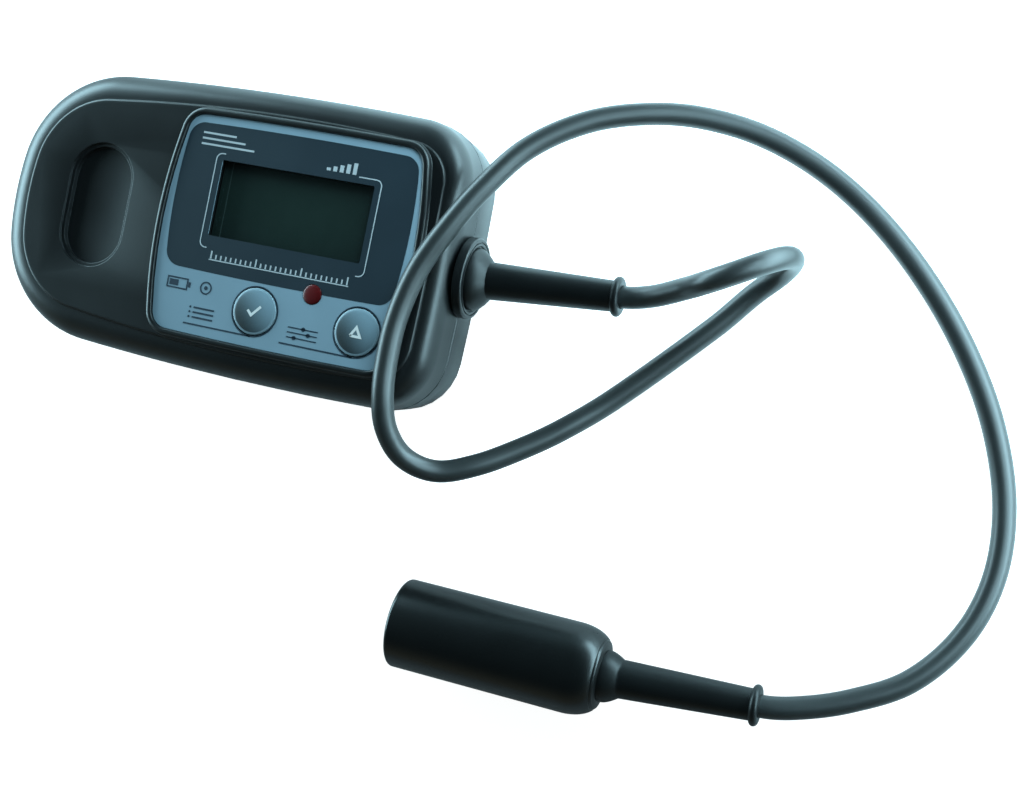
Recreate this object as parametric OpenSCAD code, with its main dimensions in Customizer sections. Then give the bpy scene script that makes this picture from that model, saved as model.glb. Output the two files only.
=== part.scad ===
// Handheld coating thickness gauge with a corded probe.
// The origin is the centre of the case's flat underside. +X runs to the cable end, +Z out of the label.
// All sizes are in millimetres.

/* [Case] */
// Length of the case at the parting line
case_l = 109; // [104:0.5:116]
// Width of the case at the parting line
case_w = 63.6; // [60:0.2:70]
// Height of the parting line above the underside
base_h = 11.5; // [10.5:0.1:13]
// Thickness of the side walls
wall = 2; // [1.6:0.1:2.4]
// Thickness of the floor and of the battery cover
floor_t = 2.4; // [2.2:0.1:3]
// Thickness of the deck
deck_t = 2; // [1.6:0.1:2.4]
// Place of the widest section along the length
widest_x = 14.8; // [5:0.1:25]
// Bow radius of the long sides
side_r = 720; // [400:10:1500]
// Bow radius of the plain end
plain_end_r = 70; // [60:1:100]
// Bow radius of the cable end
cable_end_r = 700; // [300:10:1500]
// Corner radius at the plain end
plain_corner_r = 25; // [20:0.5:30]
// Corner radius at the cable end
cable_corner_r = 13.4; // [12:0.1:16]
// Straight rise of the wall above the parting line
wall_rise = 5; // [3:0.1:7]
// Lean of the wall over that rise
wall_lean = 0.3; // [0.1:0.05:0.6]
// Lean of the lower shell's wall
base_lean = 0.7; // [0.2:0.1:1.4]
// Rounding of the bottom edge
base_round = 1.2; // [0.6:0.1:2]
// Depth of the groove along the parting line
parting_groove = 0.25; // [0.15:0.05:0.4]

/* [Deck] */
// Inset of the deck from the plain end
deck_in_plain = 6.6; // [5:0.1:8]
// Inset of the deck from the cable end
deck_in_cable = 4.1; // [3.5:0.1:5]
// Inset of the deck from the long sides
deck_in_side = 5.5; // [5:0.1:6]
// Bow radius of the deck's long sides
deck_side_r = 400; // [250:10:900]
// Bow radius of the deck's plain end
deck_plain_r = 58; // [50:1:80]
// Corner radius of the deck at the plain end
deck_plain_corner_r = 17.8; // [14:0.2:22]
// Corner radius of the deck at the cable end
deck_cable_corner_r = 8.5; // [7:0.1:10]
// Height of the deck's edge step
deck_step = 0.7; // [0.4:0.1:1]
// Rounding of the deck's edge
deck_edge = 0.35; // [0.2:0.05:0.4]

/* [Thumb recess] */
// Place along the case
thumb_x = -29.8; // [-32:0.2:-28]
// Length across the case
thumb_l = 27.6; // [22:0.2:30]
// Width along the case
thumb_w = 16; // [12:0.2:18]
// Depth below the deck
thumb_depth = 2; // [1.4:0.1:2.4]
// Width of the stepped lip round it
thumb_lip = 0.8; // [0.4:0.1:1.2]
// Depth of the stepped lip
thumb_lip_depth = 0.7; // [0.4:0.1:1]
// Thickness under its floor
thumb_floor_t = 1.2; // [1:0.1:1.6]

/* [Label frame] */
// Place of the frame's centre along the case
frame_x = 17.5; // [16:0.1:18.5]
// Length of the raised frame
frame_l = 62; // [60:0.2:64]
// Inset of the raised frame from the deck's long sides
frame_in = 1; // [0.6:0.1:1.6]
// Corner radius of the frame
frame_corner_r = 5.5; // [4:0.1:7]
// Bow radius of the frame's ends
frame_bow_r = 110; // [80:5:300]
// Bow radius of the frame's long sides
frame_side_r = 1000; // [600:50:2000]
// Rise of the frame's crest above the deck
frame_rise = 1.7; // [1.3:0.1:2.2]
// Width of the frame's ridge
ridge_w = 1.4; // [1:0.1:1.8]
// Height of the label's seat above the deck
seat_rise = 0.8; // [0.6:0.1:1]
// Thickness of the label
label_t = 0.2; // [0.1:0.05:0.3]
// Gap round the label
label_gap = 0.15; // [0.1:0.05:0.3]

/* [Display] */
// Distance of the display opening from the frame's side
display_in = 10.9; // [9.8:0.1:11.6]
// Length of the display opening
display_l = 36; // [33:0.2:38]
// Width of the display opening
display_w = 16.4; // [14:0.2:18]
// Thickness of the wall left above the window
display_lip_t = 1.2; // [1:0.1:1.4]
// Border of the window and display under the opening
display_border = 1.2; // [0.8:0.1:1.6]
// Thickness of the clear window
window_t = 1; // [0.8:0.1:1.2]
// Thickness of the display glass
lcd_t = 1.8; // [1.4:0.1:1.9]
// Thickness of the display holder's rim
holder_t = 1; // [0.8:0.1:1.4]
// Width of the display holder's rim
holder_rim = 2.4; // [1.8:0.1:3]
// Width of the holder's legs
holder_leg = 2; // [1.6:0.1:2.4]
// Height of the contact strip between display and board
strip_h = 4.3; // [3.8:0.1:5]
// Width of the contact strip
strip_w = 1.8; // [1.2:0.1:2.4]

/* [Buttons and lamp] */
// Radius of the button caps
button_r = 5; // [4.4:0.1:5.4]
// Gap round a button cap
button_gap = 0.25; // [0.15:0.05:0.4]
// Place of the OK button along the case
ok_x = 14.1; // [13:0.1:16]
// Place of the function button along the case
function_x = 38.1; // [36:0.1:38.4]
// Distance of both buttons from the frame's side
button_in = 9.2; // [8.8:0.1:10.2]
// How far a button goes down
button_travel = 0.5; // [0.3:0.1:0.8]
// Rise of the cap's rim above the label
button_proud = 0.15; // [0.1:0.05:0.4]
// Rise of the cap's crown above its rim
button_crown = 0.5; // [0.3:0.1:0.8]
// Overhang of the flange that keeps a button in
button_flange = 0.9; // [0.6:0.1:1.1]
// Thickness of that flange
button_flange_t = 0.9; // [0.7:0.1:1.2]
// Gap above the flange
flange_gap = 0.3; // [0.2:0.05:0.4]
// Gap left to the switch at full travel
switch_gap = 0.3; // [0.2:0.05:0.4]
// Side of a switch body
switch_side = 6; // [5:0.2:6.4]
// Radius of a switch plunger
plunger_r = 1.7; // [1.4:0.1:2]
// Height of a switch plunger
plunger_h = 0.8; // [0.6:0.1:1]
// Place of the warning lamp along the case
lamp_x = 26.4; // [25.5:0.1:27]
// Distance of the warning lamp from the frame's side
lamp_in = 15.1; // [14.4:0.1:15.5]
// Radius of the warning lamp
lamp_r = 2.1; // [1.6:0.1:2.4]
// Rise of the lamp's crown above the label
lamp_proud = 0.4; // [0.2:0.1:0.6]
// Radius of the lamp's legs
lamp_leg_r = 0.3; // [0.25:0.05:0.4]
// Gap round the lamp
lamp_gap = 0.1; // [0.05:0.05:0.2]

/* [Battery] */
// Length of the battery body
battery_l = 46.4; // [44:0.2:48]
// Width of the battery
battery_w = 26.5; // [25:0.1:28]
// Height of the battery
battery_h = 17.5; // [16:0.1:18.5]
// Gap above and below the battery
battery_gap = 0.2; // [0.15:0.05:0.3]
// Clear length between the plain end and the battery
battery_end_room = 5.6; // [5:0.1:6.5]
// Height of the battery terminals
terminal_h = 2.1; // [1.8:0.1:2.4]
// Radius of the small terminal
terminal_small_r = 2.8; // [2.4:0.1:3.2]
// Radius of the large terminal
terminal_large_r = 4; // [3.6:0.1:4.2]
// Distance between the terminals
terminal_pitch = 12.7; // [12:0.1:13.4]
// Thickness of the contact plate
snap_t = 4.2; // [3.4:0.1:4.8]
// Border of the contact plate round the terminals
snap_border = 1.6; // [1.2:0.1:2]
// Gap round the terminals
snap_gap = 0.1; // [0.05:0.05:0.2]

/* [Battery cover] */
// Gap round the sliding cover
cover_gap = 0.25; // [0.2:0.05:0.35]
// Ledge of the cover beside the battery
cover_ledge = 1.2; // [0.8:0.1:1.6]
// Width of the guide tongues
tongue_w = 0.8; // [0.6:0.1:1]
// Thickness of the guide tongues
tongue_t = 0.8; // [0.6:0.1:1]
// Number of grip grooves
grip_count = 4; // [3:1:6]
// Spacing of the grip grooves
grip_pitch = 2.4; // [2:0.1:3]
// Length of a grip groove
grip_l = 14; // [10:0.5:18]
// Distance of the first groove from the cover's inner end
grip_start = 8; // [5:0.5:12]
// Depth of a grip groove
grip_depth = 0.5; // [0.3:0.1:0.8]

/* [Screws] */
// Radius of the screw posts
post_r = 3.2; // [2.8:0.1:3.4]
// Radius of the screw shanks
screw_r = 1.2; // [1:0.1:1.4]
// Radius of the screw heads
head_r = 2.4; // [2:0.1:2.6]
// Height of the screw heads
head_h = 1.8; // [1.4:0.1:2.2]
// How deep the heads sit below the underside
head_sink = 1.6; // [1.2:0.1:2]
// Length of thread in the upper posts
screw_grip = 6; // [4:0.5:7]
// Radial gap round shanks
screw_gap = 0.05; // [0.03:0.01:0.08]
// Radial gap round heads
head_gap = 0.3; // [0.2:0.05:0.4]
// Place of the posts from the cable end
post_from_end = 8.5; // [8.2:0.1:9]
// Sideways place of the posts at the cable end
post_cable_y = 22; // [21.6:0.1:22.4]
// Place of the posts at the plain end
post_plain_x = -38; // [-39:0.2:-36]

/* [Circuit board] */
// Thickness of the board
board_t = 1.6; // [1.2:0.1:2]
// Width of the board
board_w = 42; // [40:0.5:44]
// Gap between the board and its neighbours
board_gap = 0.6; // [0.4:0.1:1]
// Radius of the board's standoffs
standoff_r = 2.4; // [2:0.1:2.8]
// Radius of the pegs on the standoffs
peg_r = 1; // [0.8:0.1:1.2]
// How far a peg's end stays below the board's top
peg_short = 0.3; // [0.2:0.1:0.6]
// Gap round the pegs
peg_gap = 0.06; // [0.03:0.01:0.1]
// Inset of the pegs from the board's edges
peg_inset = 3.2; // [2.8:0.1:3.6]
// Side of the processor
chip_side = 10; // [7:0.5:12]
// Height of the processor
chip_h = 1.4; // [1:0.1:1.8]
// Place of the processor along the case
chip_x = 20; // [16:0.5:24]

/* [Gland] */
// Radius of the gland flange
gland_r = 8.7; // [8:0.1:8.9]
// Thickness of the gland flange
gland_t = 2; // [1.6:0.1:2.6]
// Rise of the moulded boss under the flange
boss_proud = 0.2; // [0.1:0.05:0.4]
// Depth of that boss inside
boss_depth = 5.2; // [4.6:0.1:6]
// Radius of the gland's stem
stem_r = 6; // [5.4:0.1:6.4]
// Gap round the stem
stem_gap = 0.05; // [0.03:0.01:0.08]
// Thickness of the lock nut
nut_t = 3; // [2.4:0.1:3.4]
// Corner radius of the lock nut
nut_r = 8.5; // [8:0.1:8.6]
// Rounding of the flange's rim
gland_round = 0.5; // [0.3:0.1:0.8]
// Depth of the seat for the boot
boot_seat = 0.4; // [0.2:0.1:0.6]
// Gap round the boot's root in its seat
boot_seat_gap = 0.3; // [0.2:0.05:0.5]

/* [Boots] */
// Length of a boot
boot_l = 32.5; // [28:0.5:36]
// Radius of the case boot's flared root
boot_flare_r = 6.7; // [6:0.1:7]
// Length of the flare
boot_flare_l = 3.8; // [3:0.1:4.6]
// Thickness of the flare's rim
root_t = 0.5; // [0.3:0.1:0.8]
// Radius of the sleeve at its root
boot_root_r = 4; // [3.7:0.1:4.4]
// Radius of the sleeve at its end
boot_tip_r = 3.25; // [3:0.05:3.5]
// Radius of the end bead
bead_r = 4.2; // [3.8:0.1:4.6]
// Width of the end bead
bead_w = 1.8; // [1.4:0.1:2.4]
// Lean of the case boot to the side, in degrees
case_boot_lean = 3.5; // [0:0.1:5]
// Lean of the probe boot to the side, in degrees
probe_boot_lean = 3.7; // [0:0.1:5]
// Gap round the lead in a boot
lead_gap = 0.08; // [0.05:0.01:0.12]

/* [Cable] */
// Diameter of the cable
cable_d = 4.7; // [4.2:0.1:4.7]
// Sides of the cable tube
cable_sides = 12; // [8:1:12]
// Length of the lead header
header_l = 6; // [5:0.2:8]
// Width of the lead header
header_w = 8; // [7:0.2:10]

/* [Probe] */
// Place of the probe's sensing end
probe_x = 55; // [50:0.5:60]
// Sideways place of the probe's axis
probe_y = -74.8; // [-80:0.2:-70]
// Radius of the probe
probe_r = 9.5; // [8.5:0.1:10.5]
// Straight length of the probe
probe_l = 38.6; // [34:0.2:44]
// Length of the rounded shoulder
probe_shoulder_l = 7; // [5:0.2:9]
// Radius at the shoulder's end
probe_neck_r = 6; // [5.9:0.1:7]
// Radius of the probe boot's flared root
probe_flare_r = 5.4; // [5:0.1:5.6]
// Wall of the probe housing
probe_wall = 1.6; // [1.2:0.1:2]
// Rounding of the probe's edge
probe_round = 0.8; // [0.4:0.1:1.2]
// Thickness of the end cap
tip_t = 2.5; // [2:0.1:3.5]
// How far the end cap stands out
tip_proud = 0.3; // [0.2:0.1:0.6]
// Radius of the sensing core
core_r = 2; // [1.6:0.1:2.4]
// Length of the sensing core
core_l = 18; // [15:0.5:22]
// Length of the bobbin
bobbin_l = 13; // [10:0.5:15]
// Thickness of the bobbin's flanges
bobbin_flange_t = 1.2; // [1:0.1:1.6]
// Wall of the bobbin's tube
bobbin_wall = 0.7; // [0.5:0.1:0.9]
// Depth of the winding below the flanges
winding_sink = 1.2; // [0.8:0.1:1.6]
// Gap between pieces inside the probe
probe_fit = 0.06; // [0.03:0.01:0.1]

/* [Hidden] */
$fn = 64;

// Overlap that lets a cut or a joined shape pass its neighbour's face
eps = 0.5;

// Levels, from the underside up
deck_z = floor_t + battery_gap + battery_h + battery_gap + thumb_floor_t + thumb_depth;
ceiling_z = deck_z - deck_t;
seat_z = deck_z + seat_rise;
label_z = seat_z + label_t;
crest_z = deck_z + frame_rise;
window_z = seat_z - display_lip_t;
lcd_z = window_z - window_t;
lcd_base_z = lcd_z - lcd_t;
board_top_z = lcd_base_z - strip_h;
board_base_z = board_top_z - board_t;
shoulder_z = base_h + wall_rise;
battery_z = floor_t + battery_gap;
flange_top_z = ceiling_z - flange_gap;
flange_base_z = flange_top_z - button_flange_t;
switch_top_z = flange_base_z - button_travel - switch_gap;
screw_seat_z = head_sink + head_h;

// Stations along the length
end_x = case_l / 2;
gland_x = end_x + boss_proud;
boot_x = gland_x + gland_t - boot_seat;
boss_x = gland_x - boss_depth;
nut_x = boss_x - nut_t;
battery_x = -end_x + battery_end_room;
battery_end_x = battery_x + battery_l;
snap_x = battery_end_x + battery_gap;
board_x = snap_x + snap_t + board_gap;
post_cable_x = end_x - post_from_end;
board_end_x = post_cable_x - post_r - board_gap;
cover_end_x = snap_x + snap_t + battery_gap;
header_x = board_end_x - header_l;
boot_probe_x = probe_x + probe_l + probe_shoulder_l;

// Half widths, radii and places that follow from the sizes above
frame_w = case_w - 2 * (deck_in_side + frame_in);
display_y = frame_w / 2 - display_in - display_w / 2;
button_y = button_in - frame_w / 2;
lamp_y = lamp_in - frame_w / 2;
cable_r = cable_d / 2;
bay_half = battery_w / 2 + battery_gap;
cover_half = bay_half + cover_ledge;
groove_half = cover_half + tongue_w + 2 * cover_gap;
post_plain_y = groove_half + head_r + head_gap + cover_gap;
probe_bore_r = probe_r - probe_wall;
winding_r = probe_bore_r - probe_fit - winding_sink;
display_half = [display_l / 2 + display_border, display_w / 2 + display_border];
display_centre = [frame_x, display_y];
button_places = [[ok_x, button_y], [function_x, button_y]];
posts = [
    for (y = [-1, 1]) [post_cable_x, y * post_cable_y],
    for (y = [-1, 1]) [post_plain_x, y * post_plain_y]
];
pegs = [
    for (x = [board_x + peg_inset, board_end_x - peg_inset])
        for (y = [-1, 1]) [x, y * (board_w / 2 - peg_inset)]
];

// Outlines: left end, right end, half width, widest place, then the radii of the sides, of the left
// and right ends, and of the left and right corners
case_shape = [
    -end_x, end_x, case_w / 2, widest_x, side_r, plain_end_r, cable_end_r, plain_corner_r,
    cable_corner_r
];
deck_shape = [
    -end_x + deck_in_plain, end_x - deck_in_cable, case_w / 2 - deck_in_side, widest_x, deck_side_r,
    deck_plain_r, cable_end_r, deck_plain_corner_r, deck_cable_corner_r
];
frame_shape = [
    frame_x - frame_l / 2, frame_x + frame_l / 2, frame_w / 2, frame_x, frame_side_r, frame_bow_r,
    frame_bow_r, frame_corner_r, frame_corner_r
];

// Cable route from the case boot to the probe boot: up and back in an upright turn, down to the table,
// up a long slope and over the case by the label frame, down again, and round on the table to the probe
table_gap = 0.1;
frame_gap = 0.25;
table_z = cable_r + table_gap;
over_z = crest_z + cable_r + frame_gap;
route_inner = [
    [95.2, 3.2, 12.7], [102.4, 5.6, 17], [108, 7.5, 22.1], [113.1, 10, 23.5], [117.7, 12.9, 21.7],
    [121, 15.2, 16.8], [121.4, 15.3, 10.5], [118.8, 12.8, 5.3], [113.8, 8.1, 2.8],
    [107.2, 0, 2.8], [89.6, -19.2, 5.4], [80.6, -27.8, 8.8], [73.3, -33.5, 11.8], [66.1, -38.2, 15],
    [58.8, -41, 17.6], [52.7, -39.5, 21.3], [49.2, -34.5, 25.2], [47.8, -28, 27.4],
    [47.2, -20, over_z], [47.6, -11, over_z], [50, -1, over_z], [54.1, 8, 27.3], [59.2, 17.5, 25.6],
    [65.9, 27.4, 22.4], [75.4, 34.9, 18.5], [85.6, 39.1, 14.4], [96.7, 41, 10.1], [109.6, 39.9, 5.9],
    [123, 35.1, 3.3], [135.9, 26.9, 2.6], [148, 15.8, table_z], [158.2, 3.2, table_z],
    [165.7, -9.8, table_z], [170.5, -24.1, 2.5], [171.4, -37.9, 3], [168, -50.3, 4.2],
    [160.1, -61.1, 6], [149.6, -67.6, 7.8], [140.1, -71.3, 9]
];

// Direction of a flat heading, and the ends of the two boots
function heading(a) = [cos(a), sin(a), 0];
case_boot_end = [boot_x, 0, base_h] + boot_l * heading(case_boot_lean);
probe_boot_end = [boot_probe_x, probe_y, probe_r] + boot_l * heading(probe_boot_lean);
route = concat([case_boot_end], route_inner, [probe_boot_end]);

// Helpers for outlines of tangent arcs
function angle_of(v) = atan2(v.y, v.x);
function unit(v) = v / norm(v);
function mix(a, b, t) = a + (b - a) * t;
function meet(c1, r1, c2, r2) =
    let (d = c2 - c1, l = norm(d), a = (r1 * r1 - r2 * r2 + l * l) / (2 * l))
    c1 + (a * d + sqrt(r1 * r1 - a * a) * [-d.y, d.x]) / l;
function arc(c, r, a0, a1, n) =
    [for (i = [0 : n - 1]) let (a = mix(a0, a1, i / n)) c + r * [cos(a), sin(a)]];
function outline(s, inset = 0) =
    let (
        side = [s[3], s[2] - s[4]],
        left = [s[0] + s[5], 0],
        right = [s[1] - s[6], 0],
        corner_r = meet(right, s[6] - s[8], side, s[4] - s[8]),
        corner_l = meet(side, s[4] - s[7], left, s[5] - s[7]),
        a0 = angle_of(corner_r - right),
        a1 = angle_of(corner_r - side),
        a2 = angle_of(corner_l - side),
        a3 = angle_of(corner_l - left),
        half = concat(
            arc(right, s[6] - inset, 0, a0, 2),
            arc(corner_r, s[8] - inset, a0, a1, 7),
            arc(side, s[4] - inset, a1, a2, 4),
            arc(corner_l, s[7] - inset, a2, a3, 8),
            arc(left, s[5] - inset, a3, 180, 3)
        )
    )
    concat(half, [[s[0] + inset, 0]], [for (i = [len(half) - 1 : -1 : 1]) [half[i].x, -half[i].y]]);
function at_height(points, z) = [for (p = points) [p.x, p.y, z]];
function stadium(l, w, n = 16) =
    concat(
        arc([0, (l - w) / 2], w / 2, 0, 180, n), arc([0, (w - l) / 2], w / 2, 180, 360, n),
        [[w / 2, (w - l) / 2]]
    );

// A closed skin through rings of points, with a flat cap on the first and the last ring
module skin(rings) {
    n = len(rings[0]);
    m = len(rings);
    sides = [
        for (k = [0 : m - 2])
            for (i = [0 : n - 1])
                let (a = k * n + i, b = k * n + (i + 1) % n) each [[a, a + n, b + n], [a, b + n, b]]
    ];
    first_cap = [for (i = [0 : n - 1]) i];
    last_cap = [for (i = [n - 1 : -1 : 0]) (m - 1) * n + i];
    polyhedron([for (r = rings) each r], concat([first_cap], sides, [last_cap]), convexity = 8);
}

// A block between two corners
module block(low, high) {
    translate(low) cube(high - low);
}

// A cylinder along X from x0 to x1
module bar(x0, x1, r, y = 0, z = 0) {
    translate([x0, y, z]) rotate([0, 90, 0]) cylinder(h = x1 - x0, r = r);
}

// An outline of radius and length turned about the X axis
module turned(points) {
    rotate([0, 90, 0]) rotate_extrude() polygon(points);
}

// Upright cylinder at a place on the plan
module upright(place, z0, z1, r) {
    translate([place.x, place.y, z0]) cylinder(h = z1 - z0, r = r);
}

// Rings of the case walls
shoulder_steps = 6;
function shoulder_ring(t, inset, drop) =
    at_height(
        mix(outline(case_shape, wall_lean + inset), outline(deck_shape, inset), 1 - cos(90 * t)),
        mix(shoulder_z, deck_z - deck_step - drop, sin(90 * t))
    );
function top_outer_rings() =
    concat(
        [
            at_height(outline(case_shape, parting_groove), base_h),
            at_height(outline(case_shape), base_h + parting_groove)
        ],
        [for (k = [0 : shoulder_steps]) shoulder_ring(k / shoulder_steps, 0, 0)],
        [
            at_height(outline(deck_shape, deck_edge / 2), deck_z - deck_edge),
            at_height(outline(deck_shape, 1.5 * deck_edge), deck_z)
        ]
    );
function top_inner_rings() =
    [
        at_height(outline(deck_shape, wall), ceiling_z),
        shoulder_ring(0.6, wall, deck_t - deck_step),
        shoulder_ring(0, wall, 0),
        at_height(outline(case_shape, wall), base_h)
    ];
function base_outer_rings() =
    [
        at_height(outline(case_shape, base_lean + base_round), 0),
        at_height(outline(case_shape, base_lean + base_round * (1 - sin(45))), base_round * (1 - cos(45))),
        at_height(outline(case_shape, base_lean), base_round),
        at_height(outline(case_shape), base_h - parting_groove),
        at_height(outline(case_shape, parting_groove), base_h)
    ];
function base_inner_rings() =
    [
        at_height(outline(case_shape, wall), base_h),
        at_height(outline(case_shape, base_lean + wall), floor_t)
    ];

// Raised frame round the label, with a round crest and the label's seat inside
module label_frame() {
    crest_r = ridge_w / 2;
    skin(concat(
        [at_height(outline(frame_shape), ceiling_z + eps)],
        [
            for (a = [180 : -30 : 0])
                at_height(
                    outline(frame_shape, crest_r * (1 + cos(a))), crest_z - crest_r * (1 - sin(a))
                )
        ],
        [at_height(outline(frame_shape, ridge_w), seat_z)]
    ));
}

// Half of the round boss that the gland clamps on
module gland_boss(upper) {
    reach = gland_r + eps;
    intersection() {
        bar(boss_x, gland_x, gland_r, z = base_h);
        block([boss_x - eps, -reach, upper ? base_h : base_h - reach],
              [gland_x + eps, reach, upper ? base_h + reach : base_h]);
    }
}

module gland_bore() {
    bar(boss_x - eps, gland_x + eps, stem_r + stem_gap, z = base_h);
}

module thumb_area(depth_from, depth_to, grow) {
    translate([thumb_x, 0, deck_z - depth_to])
        linear_extrude(depth_to - depth_from) polygon(stadium(thumb_l + 2 * grow, thumb_w + 2 * grow));
}

module top_shell() {
    color("#202427") difference() {
        union() {
            skin(concat(top_inner_rings(), top_outer_rings()));
            label_frame();
            thumb_area(deck_t - eps, thumb_depth + thumb_floor_t, thumb_floor_t);
            for (p = posts) upright(p, base_h, ceiling_z + eps, post_r);
            gland_boss(true);
        }
        thumb_area(-eps, thumb_lip_depth, 0);
        thumb_area(0, thumb_depth, -thumb_lip);
        translate([display_centre.x, display_centre.y, seat_z])
            cube([display_l, display_w, 4 * display_lip_t], center = true);
        block([display_centre.x - display_half.x - label_gap, display_centre.y - display_half.y - label_gap,
               ceiling_z - eps],
              [display_centre.x + display_half.x + label_gap, display_centre.y + display_half.y + label_gap,
               window_z]);
        for (p = button_places) upright(p, ceiling_z - eps, crest_z, button_r + button_gap);
        upright([lamp_x, lamp_y], ceiling_z - eps, crest_z, lamp_r + lamp_gap);
        for (p = posts) upright(p, base_h - eps, base_h + screw_grip + eps, screw_r + screw_gap);
        gland_bore();
    }
}

// Room for the sliding cover: its slab and the two tongue grooves
module cover_room() {
    grow = cover_gap;
    past = -end_x - eps;
    block([past, -cover_half - grow, -eps], [cover_end_x + grow, cover_half + grow, floor_t + grow]);
    block([past, -groove_half, (floor_t - tongue_t) / 2 - grow],
          [cover_end_x + grow, groove_half, (floor_t + tongue_t) / 2 + grow]);
}

module bottom_shell() {
    color("#1d2124") difference() {
        union() {
            skin(concat(base_outer_rings(), base_inner_rings()));
            for (p = posts) upright(p, floor_t - eps, base_h, post_r);
            for (p = pegs) {
                upright(p, floor_t - eps, board_base_z, standoff_r);
                upright(p, board_base_z - eps, board_top_z - peg_short, peg_r);
            }
            gland_boss(false);
        }
        cover_room();
        for (p = posts) {
            upright(p, -eps, base_h + eps, screw_r + screw_gap);
            upright(p, -eps, screw_seat_z, head_r + head_gap);
        }
        gland_bore();
    }
}

module battery_cover() {
    tongue_x = -end_x + plain_corner_r / 2;
    color("#1b1f22") difference() {
        union() {
            intersection() {
                skin(base_outer_rings());
                block([-end_x - eps, -cover_half, -eps], [cover_end_x, cover_half, floor_t]);
            }
            block([tongue_x, -cover_half - tongue_w, (floor_t - tongue_t) / 2],
                  [cover_end_x, cover_half + tongue_w, (floor_t + tongue_t) / 2]);
        }
        for (i = [0 : grip_count - 1])
            translate([cover_end_x - grip_start - i * grip_pitch, 0, 0]) rotate([90, 0, 0])
                cylinder(h = grip_l, r = grip_depth, center = true);
    }
}

// Screw with a slotted round head, standing on its head
module screw() {
    slot_w = screw_r / 2;
    difference() {
        union() {
            cylinder(h = head_h, r = head_r);
            cylinder(h = base_h + screw_grip - head_sink, r = screw_r);
        }
        translate([0, 0, head_h / 4 - eps / 2])
            cube([2 * head_r + eps, slot_w, head_h / 2 + eps], center = true);
    }
}

module case_screws() {
    color("#9aa0a4") for (p = posts) translate([p.x, p.y, head_sink]) screw();
}

module front_label() {
    color("#a9c0cc") difference() {
        translate([0, 0, seat_z])
            linear_extrude(label_t) polygon(outline(frame_shape, ridge_w + label_gap));
        translate([display_centre.x, display_centre.y, seat_z])
            cube([display_l, display_w, 4 * label_t], center = true);
        for (p = button_places) upright(p, seat_z - eps, label_z + eps, button_r + button_gap);
        upright([lamp_x, lamp_y], seat_z - eps, label_z + eps, lamp_r + lamp_gap);
    }
}

// Plate of the display's size between two levels
module display_plate(z0, z1) {
    block([display_centre.x - display_half.x, display_centre.y - display_half.y, z0],
          [display_centre.x + display_half.x, display_centre.y + display_half.y, z1]);
}

module display_window() {
    color("#5a6a68", 0.5) display_plate(lcd_z, window_z);
}

module lcd_panel() {
    color("#2c3b38") display_plate(lcd_base_z, lcd_z);
}

module lcd_holder() {
    low = [board_x, display_centre.y - display_half.y];
    high = display_centre + display_half;
    rim_z = lcd_base_z - holder_t;
    color("#3a3f42") {
        difference() {
            block([low.x, low.y, rim_z], [high.x, high.y, lcd_base_z]);
            block([low.x + holder_rim, low.y + holder_rim, rim_z - eps],
                  [high.x - holder_rim, high.y - holder_rim, lcd_base_z + eps]);
        }
        for (x = [low.x, high.x - holder_leg])
            for (y = [low.y, high.y - holder_leg])
                block([x, y, board_top_z], [x + holder_leg, y + holder_leg, rim_z + eps]);
    }
}

module lcd_contact_strip() {
    y = display_centre.y - display_half.y + holder_rim + label_gap;
    margin = holder_rim + strip_w;
    color("#c8a2a0")
        block([board_x + margin, y, board_top_z],
              [display_centre.x + display_half.x - margin, y + strip_w, lcd_base_z]);
}

module main_board() {
    color("#2e6b45") difference() {
        block([board_x, -board_w / 2, board_base_z], [board_end_x, board_w / 2, board_top_z]);
        for (p = pegs) upright(p, board_base_z - eps, board_top_z + eps, peg_r + peg_gap);
    }
}

module microcontroller() {
    color("#1a1a1c") translate([chip_x, 0, board_base_z - chip_h / 2])
        cube([chip_side, chip_side, chip_h], center = true);
}

// Domed push button with a flange that keeps it under the deck
module button(place) {
    rim_z = label_z + button_proud;
    flange_r = button_r + button_gap + button_flange;
    crown = [for (a = [0 : 10 : 90]) [button_r * cos(a), rim_z + button_crown * sin(a)]];
    color("#7f8a90") translate([place.x, place.y, 0]) rotate_extrude()
        polygon(concat(
            [[0, flange_base_z], [flange_r, flange_base_z], [flange_r, flange_top_z],
             [button_r, flange_top_z]],
            crown
        ));
}

module ok_button() {
    button(button_places[0]);
}

module function_button() {
    button(button_places[1]);
}

// Square switch on the board with a round plunger
module switch(place) {
    body_z = switch_top_z - plunger_h;
    half = switch_side / 2;
    color("#b8bcc0") block([place.x - half, place.y - half, board_top_z],
                           [place.x + half, place.y + half, body_z]);
    color("#2a2a2c") upright(place, body_z - eps, switch_top_z, plunger_r);
}

module ok_switch() {
    switch(button_places[0]);
}

module function_switch() {
    switch(button_places[1]);
}

module alarm_lamp() {
    collar_r = lamp_r + lamp_gap + flange_gap;
    collar_z = flange_base_z;
    crown = [for (a = [0 : 10 : 90]) [lamp_r * cos(a), label_z + lamp_proud * sin(a)]];
    color("#7a1418") translate([lamp_x, lamp_y, 0]) {
        rotate_extrude() polygon(concat(
            [[0, collar_z], [collar_r, collar_z], [collar_r, flange_top_z], [lamp_r, flange_top_z]],
            crown
        ));
        for (x = [-1, 1]) upright([x * lamp_r / 2, 0], board_top_z, collar_z + eps, lamp_leg_r);
    }
}

battery_mid_z = battery_z + battery_h / 2;

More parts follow.
